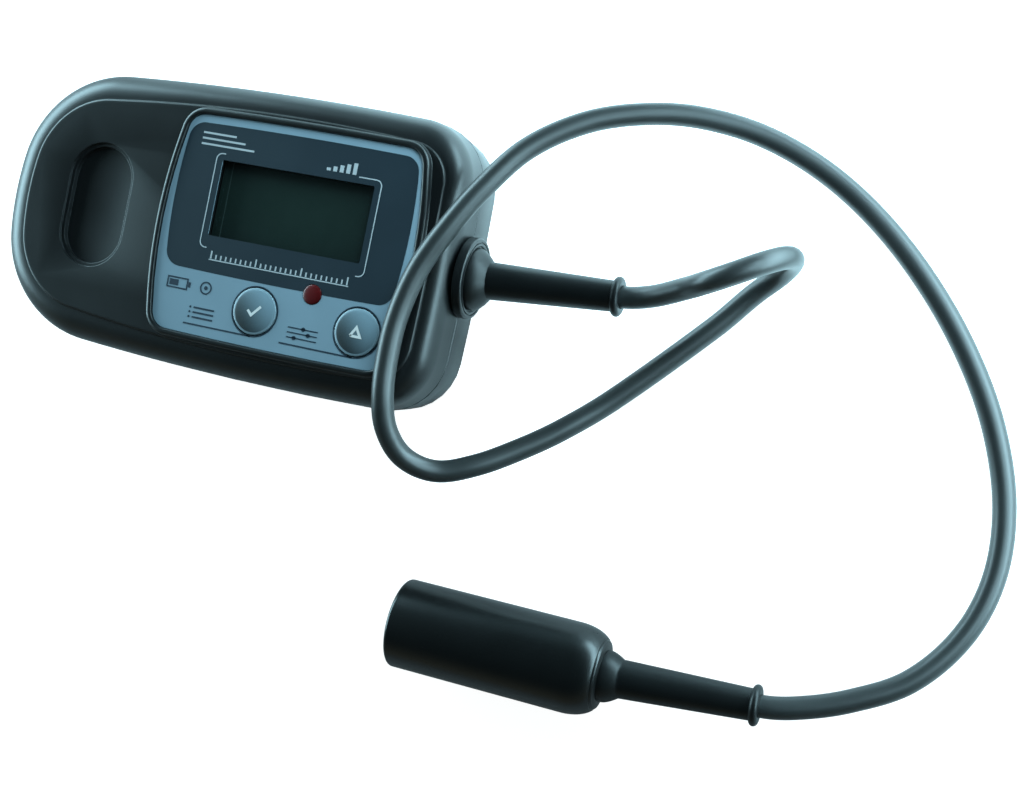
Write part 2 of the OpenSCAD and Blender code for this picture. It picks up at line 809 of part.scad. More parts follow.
module battery() {
    color("#4a4d50") {
        block([battery_x, -battery_w / 2, battery_z],
              [battery_end_x, battery_w / 2, battery_z + battery_h]);
        bar(battery_end_x - eps, battery_end_x + terminal_h, terminal_small_r, -terminal_pitch / 2,
            battery_mid_z);
        bar(battery_end_x - eps, battery_end_x + terminal_h, terminal_large_r, terminal_pitch / 2,
            battery_mid_z);
    }
}

module battery_snap() {
    half_z = terminal_large_r + snap_border;
    half_y = terminal_pitch / 2 + half_z;
    bore_end = battery_end_x + terminal_h + battery_gap;
    color("#151618") difference() {
        block([snap_x, -half_y, battery_mid_z - half_z],
              [snap_x + snap_t, half_y, battery_mid_z + half_z]);
        bar(snap_x - eps, bore_end, terminal_small_r + snap_gap, -terminal_pitch / 2, battery_mid_z);
        bar(snap_x - eps, bore_end, terminal_large_r + snap_gap, terminal_pitch / 2, battery_mid_z);
    }
}

module lead_header() {
    below = cable_r + snap_border;
    color("#e4e0d2") block([header_x, -header_w / 2, base_h - below],
                           [board_end_x, header_w / 2, board_base_z]);
}

module gland_collar() {
    face_x = gland_x + gland_t;
    bore_r = cable_r + lead_gap;
    seat_r = boot_flare_r + boot_seat_gap;
    rim = [
        for (a = [0 : 15 : 90])
            [gland_r - gland_round * (1 - cos(a)), face_x - gland_round * (1 - sin(a))]
    ];
    color("#24292c") translate([0, 0, base_h]) turned(concat(
        [[bore_r, nut_x - eps], [stem_r, nut_x - eps], [stem_r, gland_x], [gland_r, gland_x]],
        rim,
        [[seat_r, face_x], [seat_r, boot_x], [bore_r, boot_x]]
    ));
}

module gland_nut() {
    color("#34393c") translate([nut_x, 0, base_h]) rotate([0, 90, 0]) difference() {
        cylinder(h = nut_t, r = nut_r, $fn = 6);
        translate([0, 0, -eps]) cylinder(h = nut_t + 2 * eps, r = stem_r + stem_gap);
    }
}

// Strain relief from its root face along +X: a flare, then a leaning sleeve with an end bead
flare_power = 1.6;
module boot(flare_r, lean) {
    bead_x = boot_l - bead_w / 2;
    bore_r = cable_r + lead_gap;
    flare = [
        for (t = [0 : 0.125 : 1])
            [mix(flare_r, boot_root_r, pow(t, flare_power)), mix(root_t, boot_flare_l, t)]
    ];
    bead = [
        for (a = [0 : 22.5 : 180])
            [mix(boot_tip_r, bead_r, sin(a)), bead_x - bead_w / 2 * cos(a)]
    ];
    difference() {
        rotate([0, 0, lean]) turned(concat(
            [[bore_r, -root_t], [flare_r, -root_t]], flare, bead, [[bore_r, boot_l]]
        ));
        block([-2 * root_t - eps, -2 * flare_r, -2 * flare_r], [0, 2 * flare_r, 2 * flare_r]);
    }
}

// Rings of a round tube along a path, with the sides carried on from ring to ring
function carried(u, d) = unit(u - (u * d) * d);
function tube(points, dirs) =
    let (
        last = len(points) - 1,
        ups = [
            for (i = 0, u = carried([0, 0, 1], dirs[0]); i <= last;
                 i = i + 1, u = carried(u, dirs[min(i, last)])) u
        ]
    )
    [
        for (i = [0 : last])
            let (u = ups[i], v = cross(dirs[i], u))
            [
                for (k = [0 : cable_sides - 1])
                    let (a = 360 * k / cable_sides) points[i] + cable_r * (cos(a) * u + sin(a) * v)
            ]
    ];

// Lead along the X axis that bends at a boot's root and ends at the boot's end face
module lead(start_x, bend_x, lean) {
    bend = [bend_x, 0, 0];
    skin(tube(
        [[start_x, 0, 0], bend, bend + boot_l * heading(lean)],
        [heading(0), heading(lean / 2), heading(lean)]
    ));
}

module case_boot() {
    color("#16191b") translate([boot_x, 0, base_h]) boot(boot_flare_r, case_boot_lean);
}

module case_lead() {
    color("#101214") translate([0, 0, base_h]) lead(board_end_x, boot_x, case_boot_lean);
}

// Cable tube: two rings on each span of a smooth curve through the route's points
spans = len(route) - 1;
route_dirs = [
    for (i = [0 : spans])
        i == 0 ? heading(case_boot_lean)
        : i == spans ? -heading(probe_boot_lean)
        : unit(route[i + 1] - route[i - 1])
];
function on_span(i, t) =
    let (
        a = route[i], d = route[i + 1], third = norm(d - a) / 3,
        b = a + third * route_dirs[i], c = d - third * route_dirs[i + 1]
    )
    pow(1 - t, 3) * a + 3 * t * pow(1 - t, 2) * b + 3 * t * t * (1 - t) * c + pow(t, 3) * d;
path = concat([for (i = [0 : spans - 1]) each [on_span(i, 0), on_span(i, 0.5)]], [route[spans]]);
path_end = len(path) - 1;
path_dirs = [
    for (i = [0 : path_end])
        i == 0 ? route_dirs[0] : i == path_end ? route_dirs[spans] : unit(path[i + 1] - path[i - 1])
];
module cable() {
    color("#15191b") skin(tube(path, path_dirs));
}

module probe_frame() {
    translate([probe_x, probe_y, probe_r]) children();
}

module probe_boot() {
    color("#16191b") translate([boot_probe_x, probe_y, probe_r]) boot(probe_flare_r, probe_boot_lean);
}

module probe_housing() {
    end = probe_l + probe_shoulder_l;
    bore_r = cable_r + lead_gap;
    rim = [
        for (a = [90 : -15 : 0])
            [probe_r - probe_round * (1 - cos(a)), probe_round * (1 - sin(a))]
    ];
    shoulder = [
        for (a = [0 : 7.5 : 90])
            [mix(probe_neck_r, probe_r, cos(a)), probe_l + probe_shoulder_l * sin(a)]
    ];
    color("#181b1d") probe_frame() turned(concat(
        [[probe_bore_r, 0]], rim, shoulder,
        [[bore_r, end], [bore_r, end - 2 * probe_wall], [probe_bore_r, probe_l - 2 * probe_wall]]
    ));
}

module probe_tip() {
    color("#3c4043") probe_frame() turned([
        [core_r + probe_fit, -tip_proud], [probe_bore_r - probe_wall, -tip_proud],
        [probe_bore_r - probe_fit, 0], [probe_bore_r - probe_fit, tip_t], [core_r + probe_fit, tip_t]
    ]);
}

module probe_core() {
    nose = [for (a = [0 : 15 : 90]) [core_r * sin(a), -tip_proud * cos(a)]];
    color("#55585a") probe_frame() turned(concat(nose, [[core_r, core_l], [0, core_l]]));
}

module probe_bobbin() {
    bore_r = core_r + probe_fit;
    tube_r = bore_r + bobbin_wall;
    rim_r = probe_bore_r - probe_fit;
    end = tip_t + bobbin_l;
    color("#d8d4c4") probe_frame() turned([
        [bore_r, tip_t], [rim_r, tip_t], [rim_r, tip_t + bobbin_flange_t],
        [tube_r, tip_t + bobbin_flange_t], [tube_r, end - bobbin_flange_t],
        [rim_r, end - bobbin_flange_t], [rim_r, end], [bore_r, end]
    ]);
}

module probe_coil() {
    tube_r = core_r + probe_fit + bobbin_wall;
    start = tip_t + bobbin_flange_t;
    end = tip_t + bobbin_l - bobbin_flange_t;
    color("#b4662e") probe_frame()
        turned([[tube_r, start], [winding_r, start], [winding_r, end], [tube_r, end]]);
}

module probe_lead() {
    color("#101214") probe_frame() lead(core_l, boot_probe_x - probe_x, probe_boot_lean);
}

top_shell();
bottom_shell();
battery_cover();
case_screws();
front_label();
display_window();
lcd_panel();
lcd_holder();
lcd_contact_strip();
main_board();
microcontroller();
ok_button();
function_button();
ok_switch();
function_switch();
alarm_lamp();
battery();
battery_snap();
lead_header();
case_lead();
gland_collar();
gland_nut();
case_boot();
cable();
probe_boot();
probe_housing();
probe_tip();
probe_core();
probe_bobbin();
probe_coil();
probe_lead();
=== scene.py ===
import math

import bmesh
import bpy
from mathutils import Matrix, Vector


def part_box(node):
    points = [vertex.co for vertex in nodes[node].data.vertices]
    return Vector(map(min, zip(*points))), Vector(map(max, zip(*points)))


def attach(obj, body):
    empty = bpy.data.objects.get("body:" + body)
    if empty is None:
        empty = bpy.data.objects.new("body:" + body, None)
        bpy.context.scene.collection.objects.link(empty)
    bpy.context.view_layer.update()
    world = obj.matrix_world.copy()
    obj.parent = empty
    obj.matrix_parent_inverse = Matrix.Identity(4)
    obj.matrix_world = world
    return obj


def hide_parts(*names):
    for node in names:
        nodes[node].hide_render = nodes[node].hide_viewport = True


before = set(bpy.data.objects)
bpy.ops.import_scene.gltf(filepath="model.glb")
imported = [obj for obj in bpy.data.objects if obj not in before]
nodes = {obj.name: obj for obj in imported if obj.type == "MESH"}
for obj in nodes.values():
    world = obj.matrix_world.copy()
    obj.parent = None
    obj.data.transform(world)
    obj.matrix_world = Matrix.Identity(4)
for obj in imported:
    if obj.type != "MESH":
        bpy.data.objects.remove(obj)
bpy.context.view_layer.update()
scene = bpy.context.scene
mm = 0.001
weld = 1e-6     # metres within which two points are one


# sums that the pieces share
def mix(a, b, t):
    return a + (b - a) * t


def sweep(start, end, steps):
    return [mix(start, end, i / steps) for i in range(steps + 1)]


def heading(angle):
    turn = math.radians(angle)
    return Vector((math.cos(turn), math.sin(turn), 0))


def arcPairs(start, end, steps):
    turns = [math.radians(a) for a in sweep(start, end, steps)]
    return [(math.cos(a), math.sin(a)) for a in turns]


# camera at the photograph's place, rolled so that the case lies slanted in the picture
cameraSetup = {
    "place": (0.1721, -0.0166, 0.3301),
    "aim": (0.0663, -0.0236, 0),
    "roll": 81.95,
    "lens": 56.25,
    "sensor": 36,
    "nearest": 0.01,
}


def addCamera(setup):
    place = Vector(setup["place"])
    ahead = (Vector(setup["aim"]) - place).normalized()
    upright = (Vector((0, 0, 1)) - ahead * ahead.z).normalized()
    roll = math.radians(setup["roll"])
    up = upright * math.cos(roll) + ahead.cross(upright) * math.sin(roll)
    turn = Matrix((ahead.cross(up), up, -ahead)).transposed().to_4x4()
    lens = bpy.data.cameras.new("photoCamera")
    lens.lens = setup["lens"]
    lens.sensor_width = setup["sensor"]
    lens.clip_start = setup["nearest"]
    camera = bpy.data.objects.new("photoCamera", lens)
    camera.matrix_world = Matrix.Translation(place) @ turn
    scene.collection.objects.link(camera)
    scene.camera = camera


addCamera(cameraSetup)
print("camera ready")

# route of the cable, as the solid has it: boot end, upright turn, table, a long slope up and over
# the case, down again, and round on the table to the probe
cableRun = {
    "diameter": 4.7,
    "flat": 2.45,       # height of the middle where it lies on the table
    "over": 27.8,       # height where it lies over the label frame
    "bootLength": 32.5,
    "caseRoot": (56.3, 0, 11.5),
    "caseLean": 3.5,
    "probeRoot": (100.6, -74.8, 9.5),
    "probeLean": 3.7,
    "steps": 10,        # along the curve, between two points of the route
    "bevel": 6,         # steps round the cable
    "parts": 20,        # straight parts by which each stretch is measured
}


def cableRoute(run):
    flat, over = run["flat"], run["over"]
    start = Vector(run["caseRoot"]) + run["bootLength"] * heading(run["caseLean"])
    end = Vector(run["probeRoot"]) + run["bootLength"] * heading(run["probeLean"])
    between = [
        (95.2, 3.2, 12.7), (102.4, 5.6, 17), (108, 7.5, 22.1), (113.1, 10, 23.5), (117.7, 12.9, 21.7),
        (121, 15.2, 16.8), (121.4, 15.3, 10.5), (118.8, 12.8, 5.3), (113.8, 8.1, 2.8),
        (107.2, 0, 2.8), (89.6, -19.2, 5.4), (80.6, -27.8, 8.8), (73.3, -33.5, 11.8), (66.1, -38.2, 15),
        (58.8, -41, 17.6), (52.7, -39.5, 21.3), (49.2, -34.5, 25.2), (47.8, -28, 27.4),
        (47.2, -20, over), (47.6, -11, over), (50, -1, over), (54.1, 8, 27.3), (59.2, 17.5, 25.6),
        (65.9, 27.4, 22.4), (75.4, 34.9, 18.5), (85.6, 39.1, 14.4), (96.7, 41, 10.1), (109.6, 39.9, 5.9),
        (123, 35.1, 3.3), (135.9, 26.9, 2.6), (148, 15.8, flat), (158.2, 3.2, flat),
        (165.7, -9.8, flat), (170.5, -24.1, 2.5), (171.4, -37.9, 3), (168, -50.3, 4.2),
        (160.1, -61.1, 6), (149.6, -67.6, 7.8), (140.1, -71.3, 9),
    ]
    return [p * mm for p in [start, *map(Vector, between), end]]


def curveSpot(a, b, t):
    s = 1 - t
    return (a.co * s ** 3 + a.handle_right * 3 * t * s ** 2
            + b.handle_left * 3 * t * t * s + b.co * t ** 3)


def curveLength(knots, parts):
    length = 0
    for a, b in zip(knots, knots[1:]):
        line = [curveSpot(a, b, t) for t in sweep(0, 1, parts)]
        length += sum((q - p).length for p, q in zip(line, line[1:]))
    return length


def addCable(run):
    route = cableRoute(run)
    last = len(route) - 1
    ways = [(route[min(i + 1, last)] - route[max(i - 1, 0)]).normalized() for i in range(last + 1)]
    ways[0], ways[last] = heading(run["caseLean"]), -heading(run["probeLean"])
    bpy.ops.object.select_all(action="DESELECT")
    bpy.ops.curve.primitive_bezier_curve_add(location=(0, 0, 0))
    piece = bpy.context.active_object
    piece.name = piece.data.name = "cableLead"
    spline = piece.data.splines[0]
    spline.bezier_points.add(last + 1 - len(spline.bezier_points))
    for i, knot in enumerate(spline.bezier_points):
        back = (route[i] - route[max(i - 1, 0)]).length / 3
        on = (route[min(i + 1, last)] - route[i]).length / 3
        knot.handle_left_type = knot.handle_right_type = "FREE"
        knot.co = route[i]
        knot.radius = run["diameter"] / 2 * mm
        knot.handle_left = route[i] - ways[i] * (back or on)
        knot.handle_right = route[i] + ways[i] * (on or back)
    piece.data.dimensions = "3D"
    piece.data.resolution_u = piece.data.render_resolution_u = run["steps"]
    piece.data.bevel_depth = 1      # times each point's radius
    piece.data.bevel_resolution = run["bevel"]
    piece.data.use_fill_caps = True
    length = curveLength(list(spline.bezier_points), run["parts"])
    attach(piece, "case")
    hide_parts("cable")
    print("cable of", round(length, 4), "m")
    return piece


cableLead = addCable(cableRun)


# shader maths: a wrapped socket takes + - * / and the reflected forms
class Signal:
    def __init__(self, board, socket):
        self.board = board
        self.socket = socket

    def calc(self, operation, *others):
        terms = dict(enumerate([self, *others]))
        return self.board.node("ShaderNodeMath", {"operation": operation}, terms)

    def __add__(self, other):
        return self.calc("ADD", other)

    __radd__ = __add__

    def __mul__(self, other):
        return self.calc("MULTIPLY", other)

    __rmul__ = __mul__

    def __sub__(self, other):
        return self.calc("SUBTRACT", other)

    def __rsub__(self, other):
        return self.board.node("ShaderNodeMath", {"operation": "SUBTRACT"}, {0: other, 1: self})

    def __truediv__(self, other):
        return self.calc("DIVIDE", other)

    def size(self):
        return self.calc("ABSOLUTE")

    def fade(self, low, high):
        return self.board.node("ShaderNodeMapRange", {"interpolation_type": "SMOOTHSTEP"},
                               {"Value": self, "From Min": low, "From Max": high})


class NodeBoard:
    def __init__(self, tree):
        self.tree = tree

    def node(self, kind, settings=None, values=None, out=0):
        made = self.tree.nodes.new(kind)
        for name, value in (settings or {}).items():
            if name == "stops":
                for i, (at, colour) in enumerate(value):
                    stops = made.color_ramp.elements
                    stop = stops[i] if i < 2 else stops.new(at)
                    stop.position, stop.color = at, (*colour, 1)
            else:
                setattr(made, name, value)
        for name, value in (values or {}).items():
            if isinstance(value, Signal):
                self.tree.links.new(value.socket, made.inputs[name])
            else:
                made.inputs[name].default_value = value
        return Signal(self, made.outputs[out])

    def blend(self, factor, a, b):
        ends = [c if isinstance(c, Signal) else (*c, 1) for c in (a, b)]
        return self.node("ShaderNodeMix", {"data_type": "RGBA"}, {0: factor, 6: ends[0], 7: ends[1]}, 2)


class Finish(NodeBoard):
    def __init__(self, name, **fixed):
        self.material = bpy.data.materials.new(name)
        self.material.use_nodes = True
        super().__init__(self.material.node_tree)
        self.shader = next(n for n in self.tree.nodes if n.type == "BSDF_PRINCIPLED")
        self.place = self.node("ShaderNodeTexCoord", out=3)
        self.feed(**fixed)

    def feed(self, **sockets):
        for name, value in sockets.items():
            socket = self.shader.inputs[name.replace("_", " ")]
            if isinstance(value, Signal):
                self.tree.links.new(value.socket, socket)
            else:
                socket.default_value = (*value, 1) if isinstance(value, tuple) else value
        return self

    def axis(self, letter):
        return self.node("ShaderNodeSeparateXYZ", None, {0: self.place}, "XYZ".index(letter))

    def noise(self, grain, detail=3, rough=0.55):
        values = {"Scale": 1 / (grain * mm), "Detail": detail, "Roughness": rough, "Vector": self.place}
        return self.node("ShaderNodeTexNoise", None, values)

    def bump(self, height, depth):
        lift = self.node("ShaderNodeBump", None, {"Height": height, "Distance": depth * mm, "Strength": 1})
        return self.feed(Normal=lift)


# moulded or dipped surface: slow tone changes, fine grain in the bump and in the gloss
moulding = {"slow": 14, "detail": 2, "fineRough": 0.6, "mean": 0.5, "toneTurn": (0.3, 0.7)}


def grained(name, colour, gloss, grain=0.35, depth=0.012, tone=0.12, spread=0.05, **fixed):
    finish = Finish(name, **fixed)
    slow = finish.noise(moulding["slow"], moulding["detail"])
    fine = finish.noise(grain, moulding["detail"], moulding["fineRough"])
    dark = tuple(c * (1 - tone) for c in colour)
    pale = tuple(c * (1 + tone) for c in colour)
    mean = moulding["mean"]
    finish.feed(Base_Color=finish.blend(slow.fade(*moulding["toneTurn"]), dark, pale),
                Roughness=gloss + (slow - mean) * spread + (fine - mean) * spread)
    return finish.bump(fine, depth)


# colour, gloss, then grain and depth in millimetres and the share by which the tone changes
finishes = {
    "case": grained("caseBlack", (0.0042, 0.0046, 0.005), 0.37),
    "cover": grained("coverBlack", (0.0055, 0.006, 0.0065), 0.42, 0.4, 0.016),
    "gland": grained("glandBlack", (0.0045, 0.005, 0.0055), 0.33, 0.5, 0.006),
    "boot": grained("bootRubber", (0.0035, 0.0038, 0.004), 0.4, 0.6, 0.006, Specular_IOR_Level=0.35),
    "cable": grained("cableBlack", (0.0065, 0.0072, 0.0074), 0.4, 0.8, 0.006, Specular_IOR_Level=0.6),
    "probe": grained("probeBlack", (0.0022, 0.0024, 0.0025), 0.29, 0.5, 0.005),
    "label": grained("labelFoil", (0.163, 0.222, 0.267), 0.42, 0.25, 0.003, 0.03),
    "field": grained("fieldInk", (0.0078, 0.0155, 0.0225), 0.42, 0.25, 0.003, 0.05),
    "pale": grained("paleInk", (0.32, 0.33, 0.345), 0.45, 0.2, 0.002, 0.05),
    "navy": grained("navyInk", (0.015, 0.025, 0.039), 0.45, 0.2, 0.002, 0.08),
    "mark": grained("markWhite", (0.56, 0.53, 0.52), 0.45, 0.2, 0.002, 0.04),
    "lamp": grained("lampRed", (0.06, 0.003, 0.0035), 0.35, 1.2, 0.003, 0.2, Specular_IOR_Level=0.3),
    "steel": grained("screwSteel", (0.42, 0.43, 0.44), 0.35, 0.3, 0.004, 0.1, Metallic=1),
    "holder": grained("holderGrey", (0.06, 0.066, 0.07), 0.5),
    "strip": grained("stripPink", (0.5, 0.28, 0.27), 0.6, 0.2, 0.01),
    "board": grained("boardGreen", (0.018, 0.11, 0.05), 0.38, 0.9, 0.008, 0.18),
    "chip": grained("chipBlack", (0.014, 0.014, 0.015), 0.55, 0.2, 0.012),
    "switch": grained("switchGrey", (0.36, 0.38, 0.4), 0.45, 0.3, 0.008),
    "header": grained("headerCream", (0.62, 0.57, 0.46), 0.5, 0.4, 0.008),
    "tip": grained("tipGrey", (0.05, 0.054, 0.057), 0.4, 0.3, 0.006),
    "ferrite": grained("coreFerrite", (0.07, 0.072, 0.074), 0.5, 0.15, 0.012, 0.2),
    "bobbin": grained("bobbinCream", (0.55, 0.51, 0.4), 0.5, 0.4, 0.008),
}

# wire turns on the coil, one after the other along the probe's axis
coilWire = {"pitch": 0.2, "dark": (0.5, 0.19, 0.06), "pale": (0.66, 0.28, 0.1), "wear": 2.5,
            "gloss": 0.28, "spread": 0.15, "depth": 0.04}


def coilFinish(look):
    finish = Finish("coilCopper", Metallic=1.0)
    turns = (finish.axis("X") * (math.tau / (look["pitch"] * mm))).calc("SINE")
    wear = finish.noise(look["wear"])
    finish.feed(Base_Color=finish.blend(wear, look["dark"], look["pale"]),
                Roughness=look["gloss"] + wear * look["spread"])
    return finish.bump(turns, look["depth"])


# printed battery jacket: dark wrap with a pale band at the terminal end
batteryJacket = {"band": 16, "bandEdge": 0.2, "wrap": (0.03, 0.033, 0.036), "foil": (0.33, 0.35, 0.36),
                 "foilMetal": 0.8, "scuff": 6, "scuffDetail": 4, "gloss": 0.25, "spread": 0.2,
                 "depth": 0.01}


def jacketFinish(look):
    finish = Finish("batteryJacket")
    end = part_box("battery")[1].x
    band = finish.axis("X").fade(end - look["band"] * mm, end - (look["band"] - look["bandEdge"]) * mm)
    scuff = finish.noise(look["scuff"], look["scuffDetail"])
    finish.feed(Base_Color=finish.blend(band, look["wrap"], look["foil"]),
                Roughness=look["gloss"] + scuff * look["spread"], Metallic=band * look["foilMetal"])
    return finish.bump(scuff, look["depth"])


# switched-off display: dark green, paler in the middle and darkened towards its corners by painted shade,
# with a thin pale line of painted highlight at the glass edge on its left
displayGlass = {"corner": (0.0056, 0.0098, 0.009), "middle": (0.0156, 0.037, 0.028),
                "cloud": 5, "cloudDetail": 2, "cloudShare": 0.2,
                "edge": (0.09, 0.13, 0.12), "edgeAt": 2.7, "edgeFade": (0.06, 0.16), "edgeHighlightShare": 0.6,
                "gloss": 0.3, "spread": 0.1, "depth": 0.002}


def displayFinish(look):
    finish = Finish("displayGlass")
    low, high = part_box("display_window")
    mid = (low + high) / 2
    acrossX = (finish.axis("X") - mid.x) / ((high.x - low.x) / 2)
    acrossY = (finish.axis("Y") - mid.y) / ((high.y - low.y) / 2)
    # painted shade: the green darkens from the middle towards the corners of the opening
    middle = 1 - (acrossX * acrossX * 0.5 + acrossY * acrossY * 0.5)
    # painted highlight: a thin pale line along the glass edge at the left
    fromEdge = (finish.axis("X") - (low.x + look["edgeAt"] * mm)).size()
    edge = 1 - fromEdge.fade(*[reach * mm for reach in look["edgeFade"]])
    cloud = finish.noise(look["cloud"], look["cloudDetail"])
    share = look["cloudShare"]
    green = finish.blend(middle * (1 - share) + cloud * share, look["corner"], look["middle"])
    finish.feed(Base_Color=finish.blend(edge * look["edgeHighlightShare"], green, look["edge"]),
                Roughness=look["gloss"] + cloud * look["spread"])
    return finish.bump(cloud, look["depth"])


# clear cover plate with a few faint wipe marks in its gloss
windowPlate = {"tint": (0.012, 0.017, 0.017), "cover": 0.3, "wipe": 4, "wipeDetail": 4, "gloss": 0.06,
               "spread": 0.08, "depth": 0.001}


def windowFinish(look):
    finish = Finish("windowClear", Base_Color=look["tint"], Alpha=look["cover"])
    wipe = finish.noise(look["wipe"], look["wipeDetail"])
    finish.feed(Roughness=look["gloss"] + wipe * look["spread"])
    return finish.bump(wipe, look["depth"])


finishes["coil"] = coilFinish(coilWire)
finishes["jacket"] = jacketFinish(batteryJacket)
finishes["display"] = displayFinish(displayGlass)
finishes["window"] = windowFinish(windowPlate)
print("finishes ready:", len(finishes))

# white table, a soft window low at the right with an upper part for the cable, a wide one at the left,
# a fill between them, and a dim surround that turns warm on the side of the probe
studio = {
    "floorRadius": 1.6,
    "floorSides": 96,
    "floorDrop": 0.3,       # millimetres under the pieces, so that no faces coincide
    "floorGloss": 0.75,
    "floorGrain": 1.5,
    "floorDepth": 0.004,
    "floorTone": 0.004,
    "floor": (0.85, 0.86, 0.86),
    # painted shade on the table, darker by the probe
    "floorShade": (0.25, 0.25, 0.25),    # by the probe, where the pieces mirror less of the table
    "nearTurn": (-0.085, -0.02),        # across the table, from the one to the other
    "glow": (0.93, 0.92, 0.91),
    "mirrorDim": (0.05, 0.05, 0.05),    # glow that the pieces mirror by the probe
    "mirrorBright": (1.0, 1.6, 1.8),    # and towards the window at the right
    "mirrorWay": (0.6, 0.8),
    "mirrorTurn": (0.0, 0.083),
    "overhead": (0.035, 0.055, 0.062),
    "low": (0.4, 0.7, 0.8),
    "nearLow": (0.2, 0.22, 0.17),
    "lowTurn": (0.1, 0.6),              # from the low light to the overhead one
    "warmTurn": (-0.8, 0.3),
    "tint": (0.55, 0.88, 1.0),
    "aim": (0.06, -0.02, 0.0),
    "unmirrored": ["fillPanel"],        # lights the table and the print, with no highlight of its own
    "onCable": ["cablePanel"],          # lights the cable alone, for its sheen
    "panels": {                         # place, width, height and power of each
        "rightPanel": ((0.27, 0.1, 0.047), 0.45, 0.09, 1.75),
        "cablePanel": ((0.36, 0.1, 0.26), 0.45, 0.3, 3.0),
        "fillPanel": ((0.12, 0.14, 0.13), 0.1, 0.1, 0.7),
        "leftPanel": ((-0.91, 0.28, 0.19), 1.3, 0.57, 31.0),
    },
}


def addTable(setup):
    bpy.ops.object.select_all(action="DESELECT")
    bpy.ops.mesh.primitive_circle_add(vertices=setup["floorSides"], radius=setup["floorRadius"],
                                      fill_type="NGON", location=(0, 0, -setup["floorDrop"] * mm))
    floor = bpy.context.active_object
    floor.name = floor.data.name = "tableTop"
    table = grained("tableWhite", setup["floor"], setup["floorGloss"], setup["floorGrain"],
                    setup["floorDepth"], setup["floorTone"])
    # painted shade: the table's colour darkens towards the probe
    tableAndShade = table.blend(table.axis("Y").fade(*setup["nearTurn"]), setup["floorShade"], setup["floor"])
    towards = table.axis("X") * setup["mirrorWay"][0] + table.axis("Y") * setup["mirrorWay"][1]
    mirrored = table.blend(towards.fade(*setup["mirrorTurn"]), setup["mirrorDim"], setup["mirrorBright"])
    glow = table.blend(table.node("ShaderNodeLightPath"), mirrored, setup["glow"])
    below = table.node("ShaderNodeNewGeometry", out="Backfacing")       # clear from below
    table.feed(Base_Color=tableAndShade, Emission_Color=glow, Emission_Strength=1, Alpha=1 - below)
    floor.data.materials.append(table.material)


def addSurround(setup):
    world = bpy.data.worlds.new("lightTent")
    scene.world = world
    world.use_nodes = True
    board = NodeBoard(world.node_tree)
    ground = next(n for n in board.tree.nodes if n.type == "BACKGROUND")
    way = board.node("ShaderNodeTexCoord")
    up = board.node("ShaderNodeSeparateXYZ", None, {0: way}, 2)
    across = board.node("ShaderNodeSeparateXYZ", None, {0: way}, 1)
    begin, end = setup["lowTurn"]
    far, near = [board.node("ShaderNodeValToRGB", {"stops": [(begin, setup[k]), (end, setup["overhead"])]},
                            {0: up}) for k in ("low", "nearLow")]
    surround = board.blend(across.fade(*setup["warmTurn"]), near, far)
    backdrop = board.blend(board.node("ShaderNodeLightPath"), surround, setup["glow"])
    board.tree.links.new(backdrop.socket, ground.inputs["Color"])


def addPanels(setup):
    for name, (place, width, height, power) in setup["panels"].items():
        light = bpy.data.lights.new(name, "AREA")
        light.shape, light.size, light.size_y = "RECTANGLE", width, height
        light.energy, light.color = power, setup["tint"]
        panel = bpy.data.objects.new(name, light)
        panel.location = place
        # the panel's width lies along Y
        away = (Vector(place) - Vector(setup["aim"])).normalized()
        along = (Vector((0, 1, 0)) - away * away.y).normalized()
        panel.rotation_euler = Matrix((along, away.cross(along), away)).transposed().to_euler()
        panel.visible_camera = False
        panel.visible_glossy = name not in setup["unmirrored"]
        if name in setup["onCable"]:
            lit = bpy.data.collections.new(name)
            lit.objects.link(cableLead)
            panel.light_linking.receiver_collection = lit
        scene.collection.objects.link(panel)


addTable(studio)
addSurround(studio)
addPanels(studio)
scene.view_settings.view_transform = "Standard"
print("table and light ready")


# modelling helpers
def alone(piece):
    if bpy.context.mode != "OBJECT":
        bpy.ops.object.mode_set(mode="OBJECT")
    bpy.ops.object.select_all(action="DESELECT")
    piece.select_set(True)
    bpy.context.view_layer.objects.active = piece


def startShape(name):
    piece = bpy.context.active_object
    piece.name = piece.data.name = name
    bpy.ops.object.mode_set(mode="EDIT")
    return piece


def spotKey(place):
    return tuple(round(c, 7) for c in place)


def pickSpots(piece, keys):
    bpy.ops.mesh.select_all(action="DESELECT")
    shape = bmesh.from_edit_mesh(piece.data)
    for vert in shape.verts:
        if spotKey(vert.co) in keys:
            vert.select = True
    shape.select_flush(True)
    bmesh.update_edit_mesh(piece.data)


def closeShape(piece):
    bpy.ops.mesh.select_all(action="SELECT")
    bpy.ops.mesh.remove_doubles(threshold=weld)
    bpy.ops.mesh.normals_make_consistent(inside=False)
    bpy.ops.object.mode_set(mode="OBJECT")
    return piece


# a circle is drawn out ring by ring; the ends are capped, or joined where the rings close on themselves
def loft(name, rings, closed=False):
    bpy.ops.object.select_all(action="DESELECT")
    bpy.ops.mesh.primitive_circle_add(vertices=len(rings[0]), radius=1, fill_type="NOTHING")
    piece = startShape(name)
    spots = first = None
    for ring in rings:
        if spots:
            bpy.ops.mesh.extrude_edges_move()
        shape = bmesh.from_edit_mesh(piece.data)
        fresh = {}
        for i, vert in enumerate([v for v in shape.verts if v.select]):
            spot = spots[spotKey(vert.co)] if spots else i
            vert.co = ring[spot] * mm
            fresh[spotKey(vert.co)] = spot
        spots = fresh
        first = first or fresh
        bmesh.update_edit_mesh(piece.data)
    if closed:
        pickSpots(piece, {*first, *spots})
        bpy.ops.mesh.bridge_edge_loops()
    else:
        bpy.ops.mesh.edge_face_add()
        pickSpots(piece, first)
        bpy.ops.mesh.edge_face_add()
    return closeShape(piece)


